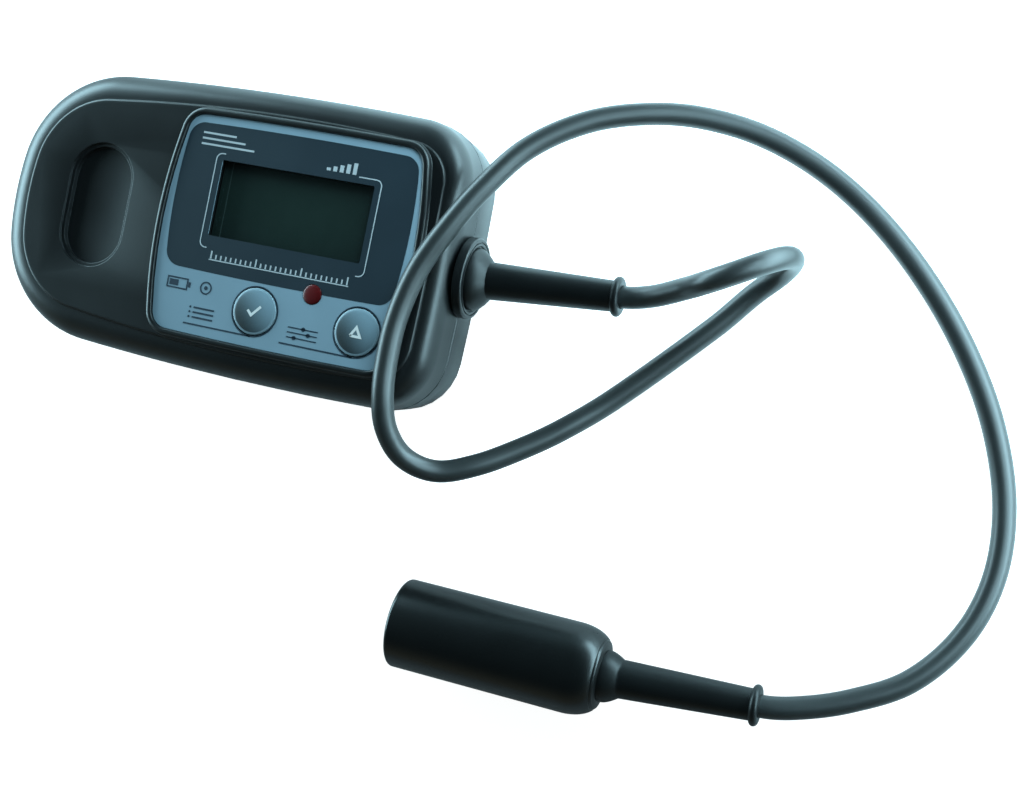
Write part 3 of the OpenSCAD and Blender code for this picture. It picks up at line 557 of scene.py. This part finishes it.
# a profile of (along the axis, radius) is drawn out from one vertex and spun
def turned(name, profile, centre, axis, steps):
    centre, axis = Vector(centre), Vector(axis)
    side = axis.orthogonal().normalized()
    spots = [(centre + axis * along + side * radius) * mm for along, radius in profile]
    bpy.ops.object.select_all(action="DESELECT")
    bpy.ops.mesh.primitive_plane_add(size=1)
    piece = startShape(name)
    bpy.ops.mesh.merge(type="CENTER")
    bpy.ops.transform.translate(value=spots[0])
    for a, b in zip(spots, spots[1:]):
        bpy.ops.mesh.extrude_region_move(TRANSFORM_OT_translate={"value": b - a})
    if profile[0][1] > 0:       # a profile that starts off the axis is closed
        pickSpots(piece, {spotKey(v.co) for v in bmesh.from_edit_mesh(piece.data).verts
                          if min((v.co - spots[0]).length, (v.co - spots[-1]).length) < weld})
        bpy.ops.mesh.edge_face_add()
    bpy.ops.mesh.select_all(action="SELECT")
    bpy.ops.mesh.spin(steps=steps, angle=math.tau, center=centre * mm, axis=axis)
    return closeShape(piece)


def combine(piece, operation, *others):
    for other in others:
        alone(piece)
        step = piece.modifiers.new("combine", "BOOLEAN")
        step.operation, step.solver, step.object = operation, "EXACT", other
        bpy.ops.object.modifier_apply(modifier=step.name)
        bpy.data.objects.remove(other)


def softEdges(piece, width, segments=3, angle=35):
    alone(piece)
    step = piece.modifiers.new("soft", "BEVEL")
    step.width, step.segments = width * mm, segments
    step.limit_method, step.angle_limit = "ANGLE", math.radians(angle)
    step.use_clamp_overlap = True
    bpy.ops.object.modifier_apply(modifier=step.name)


def dress(piece, finish, body, slot, *replaced, angle=32):
    alone(piece)
    bpy.ops.object.shade_smooth_by_angle(angle=math.radians(angle))
    piece.data.materials.clear()
    piece.data.materials.append(finishes[finish].material)
    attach(piece, body)
    if replaced:
        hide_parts(*replaced)
    return piece


def joined(name, parts):
    alone(parts[0])
    for part in parts:
        part.select_set(True)
    bpy.ops.object.join()
    parts[0].name = parts[0].data.name = name
    return parts[0]


def circle(centre, radius, count):
    return [Vector((centre[0] + radius * math.cos(math.tau * i / count),
                    centre[1] + radius * math.sin(math.tau * i / count))) for i in range(count)]


def level(points, z):
    return [Vector((p.x, p.y, z)) for p in points]


def prism(name, points, low, high):
    return loft(name, [level(points, low), level(points, high)])


def rectangle(centre, half, corner=0.4, count=6):
    points = []
    for quarter, (sx, sy) in enumerate([(1, 1), (-1, 1), (-1, -1), (1, -1)]):
        for turn in sweep(quarter * 90, quarter * 90 + 90, count):
            points.append(Vector(centre) + Vector((sx * (half[0] - corner), sy * (half[1] - corner)))
                          + corner * heading(turn).to_2d())
    return points


def stadium(centre, length, width, count=20):
    rise = (length - width) / 2
    ends = [(rise, 0), (-rise, 180)]
    return [Vector(centre) + Vector((0, shift)) + width / 2 * heading(turn).to_2d()
            for shift, start in ends for turn in sweep(start, start + 180, count)]


# outline of tangent arcs, drawn in by inset: ends, sides and corners as the solids have them
arcSteps = (6, 21, 12, 24, 9)       # on right end, right corner, side, left corner and left end


def meet(c1, r1, c2, r2):
    d = c2 - c1
    a = (r1 * r1 - r2 * r2 + d.length_squared) / (2 * d.length)
    return c1 + (a * d + math.sqrt(r1 * r1 - a * a) * Vector((-d.y, d.x))) / d.length


def wayOf(v):
    return math.degrees(math.atan2(v.y, v.x))


def outline(shape, inset=0.0):
    half, sideR, leftR, rightR = (shape[k] for k in ("half", "sideR", "leftR", "rightR"))
    leftCorner, rightCorner = shape["leftCorner"], shape["rightCorner"]
    side = Vector((shape["widest"], half - sideR))
    left = Vector((shape["left"] + leftR, 0))
    right = Vector((shape["right"] - rightR, 0))
    cornerR = meet(right, rightR - rightCorner, side, sideR - rightCorner)
    cornerL = meet(side, sideR - leftCorner, left, leftR - leftCorner)
    turns = [0, wayOf(cornerR - right), wayOf(cornerR - side), wayOf(cornerL - side),
             wayOf(cornerL - left), 180]
    arcs = [(right, rightR), (cornerR, rightCorner), (side, sideR), (cornerL, leftCorner), (left, leftR)]
    upper = []
    for (centre, radius), count, start, end in zip(arcs, arcSteps, turns, turns[1:]):
        upper += [centre + (radius - inset) * heading(a).to_2d() for a in sweep(start, end, count)[:-1]]
    lower = [Vector((p.x, -p.y)) for p in reversed(upper[1:])]
    return upper + [Vector((shape["left"] + inset, 0))] + lower


shellLow, shellHigh = (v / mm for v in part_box("top_shell"))
endX, halfWidth = -shellLow.x, shellHigh.y
caseShape = {"left": -endX, "right": endX, "half": halfWidth, "widest": 14.8, "sideR": 720, "leftR": 70,
             "rightR": 700, "leftCorner": 25, "rightCorner": 13.4}
deckShape = {"left": -endX + 6.6, "right": endX - 4.1, "half": halfWidth - 5.5, "widest": 14.8,
             "sideR": 400, "leftR": 58, "rightR": 700, "leftCorner": 17.8, "rightCorner": 8.5}
frameShape = {"left": -13.5, "right": 48.5, "half": halfWidth - 6.5, "widest": 17.5, "sideR": 1000,
              "leftR": 110, "rightR": 110, "leftCorner": 5.5, "rightCorner": 5.5}
levels = {"parting": 11.5, "shoulder": 16.5, "ceiling": 21.5, "deck": 23.5, "seat": 24.3, "label": 24.5,
          "crest": 25.2}
keyPlaces = {"ok": (14.1, -16.1), "function": (38.1, -16.1)}
lampPlace = (26.4, -10.2)
displayPlace = (17.5, 6.2)

# openings of display, keys and lamp, which go through the shell, the label frame and the printed field
openings = {"displayHalf": (18, 8.2), "key": 5.25, "keySides": 64, "lamp": 2.2, "lampSides": 48, "over": 3}


def displayCut(low, high):
    return prism("cutDisplay", rectangle(displayPlace, openings["displayHalf"]), low, high)


def keyCuts(low, high):
    return [prism("cutKey", circle(place, openings["key"], openings["keySides"]), low, high)
            for place in keyPlaces.values()]


def lampCut(low, high):
    return prism("cutLamp", circle(lampPlace, openings["lamp"], openings["lampSides"]), low, high)


# top shell: wall, rounded shoulder, stepped edge of the raised deck, thumb recess and openings
topShell = {
    "groove": 0.25, "wall": 2.0, "lean": 0.3, "draft": 0.03,
    "shoulderSteps": 20, "innerTurns": (0.66, 0.33, 0),
    "step": 0.7, "stepFoot": (0.1, 0.08), "deckInset": 0.14, "edge": 0.5, "edgeSteps": 5, "deckRun": 0.6,
    "thumb": (-29.8, 0), "thumbLength": 27.6, "thumbWidth": 16, "thumbLip": 0.8, "lipDepth": 0.7,
    "thumbDepth": 2.0, "bowlWall": 1.2, "bowlTop": 1.5, "soft": 0.3,
    "plateHalf": (19.35, 9.55), "plateTop": 23.1, "under": 1,
}


def shoulder(t, inset, drop=0.0):
    a = math.radians(90 * t)
    low, high = outline(caseShape, topShell["lean"] + inset), outline(deckShape, inset)
    z = mix(levels["shoulder"], levels["deck"] - topShell["step"], math.sin(a)) - drop
    return level([mix(p, q, 1 - math.cos(a)) for p, q in zip(low, high)], z)


def topRings(plan):
    wall, groove, edge = plan["wall"], plan["groove"], plan["edge"]
    deck, parting = levels["deck"], levels["parting"]
    inner = [level(outline(deckShape, wall), levels["ceiling"])]
    inner += [shoulder(t, wall, wall * t) for t in plan["innerTurns"]]
    inner.append(level(outline(caseShape, wall), parting))
    outer = [level(outline(caseShape, groove), parting)]
    outer.append(level(outline(caseShape, 0), parting + groove))
    outer.append(level(outline(caseShape, plan["draft"]), parting + 2 * groove))
    outer += [shoulder(i / plan["shoulderSteps"], 0) for i in range(plan["shoulderSteps"] + 1)]
    footInset, footRise = plan["stepFoot"]
    outer.append(level(outline(deckShape, footInset), deck - plan["step"] + footRise))
    for across, up in arcPairs(0, 90, plan["edgeSteps"]):
        inset = plan["deckInset"] + edge * (1 - across)
        outer.append(level(outline(deckShape, inset), deck - edge * (1 - up)))
    outer.append(level(outline(deckShape, edge + plan["deckRun"]), deck))
    return inner + outer


def buildTop(plan):
    piece = loft("caseTop", topRings(plan))
    deck, thumb = levels["deck"], plan["thumb"]
    length, width = plan["thumbLength"], plan["thumbWidth"]
    lip, wall = plan["thumbLip"] * 2, plan["bowlWall"] * 2
    floor, high = deck - plan["thumbDepth"], deck + openings["over"]
    under = prism("thumbFloor", stadium(thumb, length + wall, width + wall),
                  floor - plan["bowlWall"], deck - plan["bowlTop"])
    combine(piece, "UNION", under)
    combine(piece, "DIFFERENCE",
            prism("cutLip", stadium(thumb, length, width), deck - plan["lipDepth"], high),
            prism("cutBowl", stadium(thumb, length - lip, width - lip), floor, high))
    softEdges(piece, plan["soft"])
    low = levels["ceiling"] - plan["under"]
    plate = prism("cutPlate", rectangle(displayPlace, plan["plateHalf"]), low, plan["plateTop"])
    combine(piece, "DIFFERENCE", displayCut(low, high), plate, *keyCuts(low, high), lampCut(low, high))
    return dress(piece, "case", "case", "case_black", "top_shell")


buildTop(topShell)
print("top shell ready")

# raised frame round the label with its seat; its foot is let into the deck
labelFrame = {"width": 1.4, "outer": 0.8, "outerSteps": 6, "inner": 0.4, "innerSteps": 4, "foot": 0.25,
              "footDepth": 0.6, "footLap": 0.02, "footTop": 0.06, "seatInset": 0.04, "under": 2}


def buildFrame(plan):
    width, outer, inner = plan["width"], plan["outer"], plan["inner"]
    foot, lap = plan["foot"], plan["footLap"]
    deck, crest = levels["deck"], levels["crest"]
    rings = [level(outline(frameShape, -lap), deck - plan["footDepth"]),
             level(outline(frameShape, -foot), deck - lap),
             level(outline(frameShape, -plan["footTop"]), deck + foot)]
    for across, up in arcPairs(0, 90, plan["outerSteps"]):
        rings.append(level(outline(frameShape, outer * (1 - across)), crest - outer * (1 - up)))
    for across, up in arcPairs(90, 0, plan["innerSteps"]):
        rings.append(level(outline(frameShape, width - inner * (1 - across)), crest - inner * (1 - up)))
    rings.append(level(outline(frameShape, width + plan["seatInset"]), levels["seat"]))
    piece = loft("labelFrame", rings)
    low, high = deck - plan["under"], crest + openings["over"]
    combine(piece, "DIFFERENCE", displayCut(low, high), *keyCuts(low, high), lampCut(low, high))
    return dress(piece, "case", "case", "case_black")


buildFrame(labelFrame)
print("label frame ready")

# bottom shell and battery cover: the solids with merged meshes and softened edges
baseEdges = {"width": 0.12, "segments": 2, "angle": 40, "flat": 0.5}


def refined(name, source, plan):
    bpy.ops.object.select_all(action="DESELECT")
    piece = bpy.data.objects.new(name, nodes[source].data.copy())
    scene.collection.objects.link(piece)
    alone(piece)
    bpy.ops.object.mode_set(mode="EDIT")
    bpy.ops.mesh.select_all(action="SELECT")
    bpy.ops.mesh.remove_doubles(threshold=weld)
    bpy.ops.mesh.dissolve_limited(angle_limit=math.radians(plan["flat"]))
    bpy.ops.object.mode_set(mode="OBJECT")
    softEdges(piece, plan["width"], plan["segments"], plan["angle"])
    return piece


caseBase = refined("caseBase", "bottom_shell", baseEdges)
dress(caseBase, "case", "case", "case_black", "bottom_shell")
batteryCover = refined("batteryCover", "battery_cover", baseEdges)
dress(batteryCover, "cover", "cover", "cover_black", "battery_cover")
print("base and cover ready")

# dark printed field and the printed lines, thin ink on the label
fieldShape = {"left": -10.3, "right": 45.3, "half": 16, "widest": 17.5, "sideR": 1000, "leftR": 110,
              "rightR": 110, "leftCorner": 3.6, "rightCorner": 3.6}
labelPrint = {
    "sink": 0.02, "fieldInk": 0.03, "lineInk": 0.06, "fieldMid": 6.0, "beyond": 1,
    "line": 0.32, "thin": 0.24, "mitre": 0.4, "ringSides": 96, "discSides": 24,
    "brackets": [(-2.0, 1, 2.0), (37.0, -1, 5.4)],      # place, way and upper run of each
    "bracketSpan": (-4.7, 15.7), "bracketCorner": 1.3, "bracketSteps": 6, "bracketFoot": 1.8,
    "ticks": {"count": 28, "from": (1.3, -6.9), "pitch": 1.2, "tall": 1.7, "short": 1.0, "every": 9,
              "width": 0.34},
    "scaleLine": [(0.9, -7.1), (34.1, -7.1)],
    "bars": {"count": 5, "from": (24.4, 16.0), "pitch": 1.5, "least": 0.6, "rise": 0.45, "width": 0.9},
    "layers": {"count": 3, "from": (-6.3, 17.2), "pitch": 1.2, "reach": 6.5, "less": 2.4, "width": 0.42},
    "keyRing": 5.37, "keyRingWidth": 0.2,
    "leaders": [[(-2.2, -21.45), (14.1, -21.45)], [(21.0, -21.45), (38.1, -21.45)]],
    "rows": {"count": 3, "from": -19.9, "pitch": 1.05},
    "list": {"dotAt": -1.2, "dot": 0.24, "from": -0.4, "to": 4.6, "width": 0.36},
    "sliders": {"from": 22.4, "to": 29.4, "knobAt": 24.2, "knobShift": 3.1, "knobSpan": 4.4, "knob": 0.46},
    "battery": [                                        # jacket, nub and charge, each with its width
        ([(-7.8, -14.4), (-3.0, -14.4), (-3.0, -12.2), (-7.8, -12.2), (-7.8, -14.4)], 0.3),
        ([(-2.7, -13.3), (-2.2, -13.3)], 1.1),
        ([(-7.3, -13.3), (-5.2, -13.3)], 1.3),
    ],
    "dotRing": {"place": (1.6, -13.3), "radius": 1.25, "width": 0.3, "dot": 0.42},
}
inkLow = levels["label"] - labelPrint["sink"]
inkTop = levels["label"] + labelPrint["lineInk"]


def stroke(points, width, top=inkTop):
    points = [Vector(p) for p in points]
    rings = []
    for i, p in enumerate(points):
        into = (p - points[i - 1]).normalized() if i else (points[1] - p).normalized()
        away = (points[i + 1] - p).normalized() if i + 1 < len(points) else into
        way = (into + away).normalized()
        side = Vector((-way.y, way.x)) * width / 2 / max(way.dot(into), labelPrint["mitre"])
        a, b = p + side, p - side
        rings.append([Vector((*spot, z)) for spot, z in ((a, inkLow), (a, top), (b, top), (b, inkLow))])
    return loft("stroke", rings)


def ringStroke(centre, radius, width):
    a, b = radius - width / 2, radius + width / 2
    profile = [(inkLow, a), (inkLow, b), (inkTop, b), (inkTop, a)]
    return turned("ring", profile, (*centre, 0), (0, 0, 1), labelPrint["ringSides"])


def disc(centre, radius):
    return prism("disc", circle(centre, radius, labelPrint["discSides"]), inkLow, inkTop)


def bracket(x, away, topRun, plan):
    low, high = plan["bracketSpan"]
    corner, lowRun = plan["bracketCorner"], plan["bracketFoot"]
    turn = [(x + away * (corner - corner * across), corner - corner * up)
            for across, up in arcPairs(0, 90, plan["bracketSteps"])]
    top = [(px, high - drop) for px, drop in turn]
    base = [(px, low + drop) for px, drop in turn]
    return [(x + away * lowRun, low), *reversed(base), *top, (x + away * topRun, high)]


def buildField(plan):
    points = [p + Vector((0, plan["fieldMid"])) for p in outline(fieldShape)]
    field = prism("printField", points, inkLow, levels["label"] + plan["fieldInk"])
    low, high = levels["seat"] - plan["beyond"], levels["label"] + plan["beyond"]
    combine(field, "DIFFERENCE", displayCut(low, high), lampCut(low, high))
    dress(field, "field", "case", "label_print")


# brackets round the display, a tick scale under it, level bars and stacked layers above it
def buildPale(plan):
    signs = [stroke(bracket(*place, plan), plan["thin"]) for place in plan["brackets"]]
    ticks, bars, layers = plan["ticks"], plan["bars"], plan["layers"]
    x, y = ticks["from"]
    for i in range(ticks["count"]):
        at = x + i * ticks["pitch"]
        tall = ticks["short"] if i % ticks["every"] else ticks["tall"]
        signs.append(stroke([(at, y), (at, y + tall)], ticks["width"]))
    signs.append(stroke(plan["scaleLine"], plan["thin"]))
    x, y = bars["from"]
    for i in range(bars["count"]):
        at = x + i * bars["pitch"]
        signs.append(stroke([(at, y), (at, y + bars["least"] + bars["rise"] * i)], bars["width"]))
    x, y = layers["from"]
    for i in range(layers["count"]):
        at = y + i * layers["pitch"]
        signs.append(stroke([(x, at), (layers["reach"] - i * layers["less"], at)], layers["width"]))
    dress(joined("printPale", signs), "pale", "case", "label_print")


# rings and leader lines of the keys, a list sign and a slider sign over the lines, and a battery sign
# with a dotted ring at the left
def buildNavy(plan):
    signs = [ringStroke(place, plan["keyRing"], plan["keyRingWidth"]) for place in keyPlaces.values()]
    signs += [stroke(leader, plan["line"]) for leader in plan["leaders"]]
    rows, listSign, sliders, dotRing = plan["rows"], plan["list"], plan["sliders"], plan["dotRing"]
    for i in range(rows["count"]):
        y = rows["from"] + i * rows["pitch"]
        knob = sliders["knobAt"] + (i * sliders["knobShift"]) % sliders["knobSpan"]
        signs.append(disc((listSign["dotAt"], y), listSign["dot"]))
        signs.append(stroke([(listSign["from"], y), (listSign["to"], y)], listSign["width"]))
        signs.append(stroke([(sliders["from"], y), (sliders["to"], y)], plan["thin"]))
        signs.append(disc((knob, y), sliders["knob"]))
    signs += [stroke(points, width) for points, width in plan["battery"]]
    signs.append(ringStroke(dotRing["place"], dotRing["radius"], dotRing["width"]))
    signs.append(disc(dotRing["place"], dotRing["dot"]))
    dress(joined("printNavy", signs), "navy", "case", "label_print")


buildField(labelPrint)
buildPale(labelPrint)
buildNavy(labelPrint)
print("print ready")

# domed push buttons, each with a plain sign
keyCap = {
    "radius": 5.0, "rim": 24.65, "crown": 0.5, "collar": 6.15, "low": 20.3, "top": 21.2, "domeSteps": 16,
    # colours of the face's painted shade and painted light, and of the rim's painted highlight
    "sides": 96, "face": 4.5, "faceEdge": 0.1, "paintedLightWay": (0.74, 0.67), "faceShaded": (0.007, 0.0095, 0.01),
    "faceLit": (0.155, 0.215, 0.255), "rimHighlight": (0.165, 0.22, 0.255), "grain": 0.3, "grainDetail": 2,
    "grainShare": 0.1, "gloss": 0.34, "spread": 0.08, "depth": 0.004,
    "signWidth": 0.55, "signRise": 0.03, "smooth": 50,
    "signs": {"ok": [(-1.4, 0.1), (-0.4, -0.9), (1.5, 1.2)],
              "function": [(-1.15, -0.9), (0, 1.0), (1.15, -0.9), (-1.15, -0.9)]},
}


# painted highlight on the rim, and a face with painted shade and light, dark at its lower left and pale at
# its upper right
def buttonFinish(plan):
    finish = Finish("buttonGrey")
    (okX, keyY), (functionX, _) = keyPlaces.values()
    second = finish.axis("X").fade((okX + functionX - 1) / 2 * mm, (okX + functionX + 1) / 2 * mm)
    dx = finish.axis("X") - (okX * mm + second * ((functionX - okX) * mm))
    dy = finish.axis("Y") - keyY * mm
    reach = (dx * dx + dy * dy).calc("SQRT")
    wayX, wayY = plan["paintedLightWay"]
    face, edge, share = plan["face"], plan["faceEdge"], plan["grainShare"]
    # painted shade and light: the face darkens towards its lower left and pales towards its upper right
    paintedShade = (dx * wayX + dy * wayY).fade(-face * mm, face * mm)
    grain = finish.noise(plan["grain"], plan["grainDetail"])
    paintedFace = finish.blend(paintedShade * (1 - share) + grain * share, plan["faceShaded"], plan["faceLit"])
    # painted highlight: a pale ring at the edge of the face
    rim = reach.fade((face - edge) * mm, (face + edge) * mm)
    finish.feed(Base_Color=finish.blend(rim, paintedFace, plan["rimHighlight"]),
                Roughness=plan["gloss"] + grain * plan["spread"])
    return finish.bump(grain, plan["depth"])


# collar that holds it in the shell, straight side and a dome
def capProfile(plan, rim):
    low, top, collar, radius = (plan[k] for k in ("low", "top", "collar", "radius"))
    dome = [(rim + plan["crown"] * up, radius * across)
            for across, up in arcPairs(0, 90, plan["domeSteps"])]
    dome[-1] = (dome[-1][0], 0)
    return [(low, 0), (low, collar), (top, collar), (top, radius), *dome]


def buildKeys(plan):
    finishes["button"] = buttonFinish(plan)
    profile = capProfile(plan, plan["rim"])
    signTop = plan["rim"] + plan["crown"] + plan["signRise"]
    for key, (x, y) in keyPlaces.items():
        cap = turned(key + "Cap", profile, (x, y, 0), (0, 0, 1), plan["sides"])
        dress(cap, "button", key + "_key", "button_grey", key + "_button", angle=plan["smooth"])
        sign = stroke([(x + dx, y + dy) for dx, dy in plan["signs"][key]], plan["signWidth"], signTop)
        sign.name = sign.data.name = key + "Sign"
        dress(sign, "mark", key + "_key", "button_grey")


buildKeys(keyCap)

# warning lamp, a small domed lens on two legs
lampLens = {"radius": 2.1, "crown": 0.4, "collar": 2.5, "low": 20.3, "top": 21.2, "domeSteps": 10,
            "sides": 64, "leg": 0.3, "legSides": 12, "legAside": 1.05, "legInto": 0.2, "smooth": 50}


def buildLamp(plan):
    x, y = lampPlace
    lens = turned("lampLens", capProfile(plan, levels["label"]), (x, y, 0), (0, 0, 1), plan["sides"])
    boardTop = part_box("main_board")[1].z / mm
    legs = [prism("leg", circle((x + dx, y), plan["leg"], plan["legSides"]), boardTop,
                  plan["low"] + plan["legInto"]) for dx in (-plan["legAside"], plan["legAside"])]
    lamp = joined("lampLens", [lens, *legs])
    dress(lamp, "lamp", "case", "lamp_red", "alarm_lamp", angle=plan["smooth"])


buildLamp(lampLens)
print("keys and lamp ready")

# gland on the end wall: flange with a grooved face and a seat for the boot
gland = {"radius": 8.7, "start": 54.7, "thick": 2.0, "round": 0.5, "roundSteps": 6, "stem": 6.0,
         "stemStart": 46.0, "seat": 7.0, "seatX": 56.3, "seatEdge": 0.15, "bore": 2.43, "groove": 7.75,
         "grooveWidth": 0.3, "grooveDepth": 0.25, "sides": 96}


def buildGland(plan):
    start, radius, stem, bore = (plan[k] for k in ("start", "radius", "stem", "bore"))
    seat, seatX, seatEdge = plan["seat"], plan["seatX"], plan["seatEdge"]
    face, edge = start + plan["thick"], plan["round"]
    rim = [(face - edge * (1 - up), radius - edge * (1 - across))
           for across, up in arcPairs(0, 90, plan["roundSteps"])]
    groove, half, floor = plan["groove"], plan["grooveWidth"] / 2, face - plan["grooveDepth"]
    profile = [(plan["stemStart"], bore), (plan["stemStart"], stem), (start, stem), (start, radius), *rim,
               (face, groove + half), (floor, groove + half / 2), (floor, groove - half / 2),
               (face, groove - half), (face, seat + seatEdge), (face - seatEdge, seat),
               (seatX, seat), (seatX, bore)]
    piece = turned("glandFlange", profile, (0, 0, levels["parting"]), (1, 0, 0), plan["sides"])
    dress(piece, "gland", "case", "gland_black", "gland_collar")


buildGland(gland)

# strain reliefs: flat root, bell flare, leaning sleeve and end bead
boot = {"length": 32.5, "rootThick": 0.5, "flareLength": 3.8, "flarePower": 1.6, "flareSteps": 14,
        "sleeve": 4.0, "sleeveTurns": (0.02, 0.25, 0.5, 0.75, 0.97), "tip": 3.25, "bead": 4.2,
        "beadWidth": 1.8, "beadSteps": 12, "bore": 2.43, "sides": 56, "smooth": 50,
        "caseFlare": 6.7, "probeFlare": 5.4}


def bootProfile(flare, plan):
    length, sleeve, tip, half = plan["length"], plan["sleeve"], plan["tip"], plan["beadWidth"] / 2
    root, bell = plan["rootThick"], plan["flareLength"]
    beadX = length - half
    profile = [(mix(root, bell, t), mix(flare, sleeve, t ** plan["flarePower"]))
               for t in sweep(0, 1, plan["flareSteps"])]
    profile += [(mix(bell, beadX - half, t), mix(sleeve, tip, t)) for t in plan["sleeveTurns"]]
    profile += [(beadX - half * along, mix(tip, plan["bead"], up))
                for along, up in arcPairs(0, 180, plan["beadSteps"])]
    return profile + [(length, plan["bore"])]


def buildBoot(name, node, end, plan):
    root, lean, flare = cableRun[end + "Root"], cableRun[end + "Lean"], plan[end + "Flare"]
    turn = Matrix.Rotation(math.radians(lean), 3, "Z")

    def ring(along, radius, flat=False):
        points = []
        for i in range(plan["sides"]):
            a = math.tau * i / plan["sides"]
            across, up = radius * math.cos(a), radius * math.sin(a)
            x = across * math.tan(math.radians(lean)) if flat else along
            points.append(Vector(root) + turn @ Vector((x, across, up)))
        return points

    rings = [ring(0, plan["bore"], True), ring(0, flare, True)]
    rings += [ring(x, r) for x, r in bootProfile(flare, plan)]
    dress(loft(name, rings, True), "boot", "case", "boot_rubber", node, angle=plan["smooth"])


buildBoot("caseSleeve", "case_boot", "case", boot)
buildBoot("probeSleeve", "probe_boot", "probe", boot)
print("gland and sleeves ready")

# probe body: rounded mouth, straight barrel, rounded shoulder with a fine step before the sleeve
probe = {"start": (55, -74.8, 9.5), "radius": 9.5, "barrel": 38.6, "shoulder": 7.0, "neck": 6.0,
         "round": 0.8, "roundSteps": 6, "bore": 7.9, "wall": 1.6, "leadBore": 2.43, "stepTurn": 62,
         "domeSteps": 14,
         "step": [(0.06, 0.28), (0.25, 0.33), (0.55, 0.6)],     # on from the shoulder, and in
         "lip": [(0.15, 0.35), (0, 0.1)],                       # back from the end, and out from the neck
         "sides": 96}


def buildProbe(plan):
    barrel, neck, radius, edge = (plan[k] for k in ("barrel", "neck", "radius", "round"))
    end, inside = barrel + plan["shoulder"], 2 * plan["wall"]
    rim = [(edge * (1 - up), radius - edge * (1 - across))
           for across, up in arcPairs(90, 0, plan["roundSteps"])]
    dome = [(barrel + plan["shoulder"] * up, mix(neck, radius, across))
            for across, up in arcPairs(0, plan["stepTurn"], plan["domeSteps"])]
    x, r = dome[-1]
    step = [(x + on, r - drop) for on, drop in plan["step"]]
    lip = [(end - back, neck + out) for back, out in plan["lip"]]
    profile = [(0, plan["bore"]), *rim, *dome, *step, *lip, (end, plan["leadBore"]),
               (end - inside, plan["leadBore"]), (barrel - inside, plan["bore"])]
    piece = turned("probeBody", profile, plan["start"], (1, 0, 0), plan["sides"])
    dress(piece, "probe", "case", "probe_black", "probe_housing")


buildProbe(probe)
print("probe ready")

# solids that keep their own meshes
nodeFinishes = {
    "front_label": "label", "display_window": "window", "lcd_panel": "display", "lcd_holder": "holder",
    "lcd_contact_strip": "strip", "main_board": "board", "microcontroller": "chip", "ok_switch": "switch",
    "function_switch": "switch", "battery": "jacket", "battery_snap": "chip", "lead_header": "header",
    "case_lead": "cable", "gland_nut": "gland", "case_screws": "steel", "probe_tip": "tip",
    "probe_core": "ferrite", "probe_bobbin": "bobbin", "probe_coil": "coil", "probe_lead": "cable",
}
for name, finish in nodeFinishes.items():
    nodes[name].data.materials.clear()
    nodes[name].data.materials.append(finishes[finish].material)
cableLead.data.materials.append(finishes["cable"].material)
print("solids dressed:", len(nodeFinishes))

bpy.context.view_layer.update()
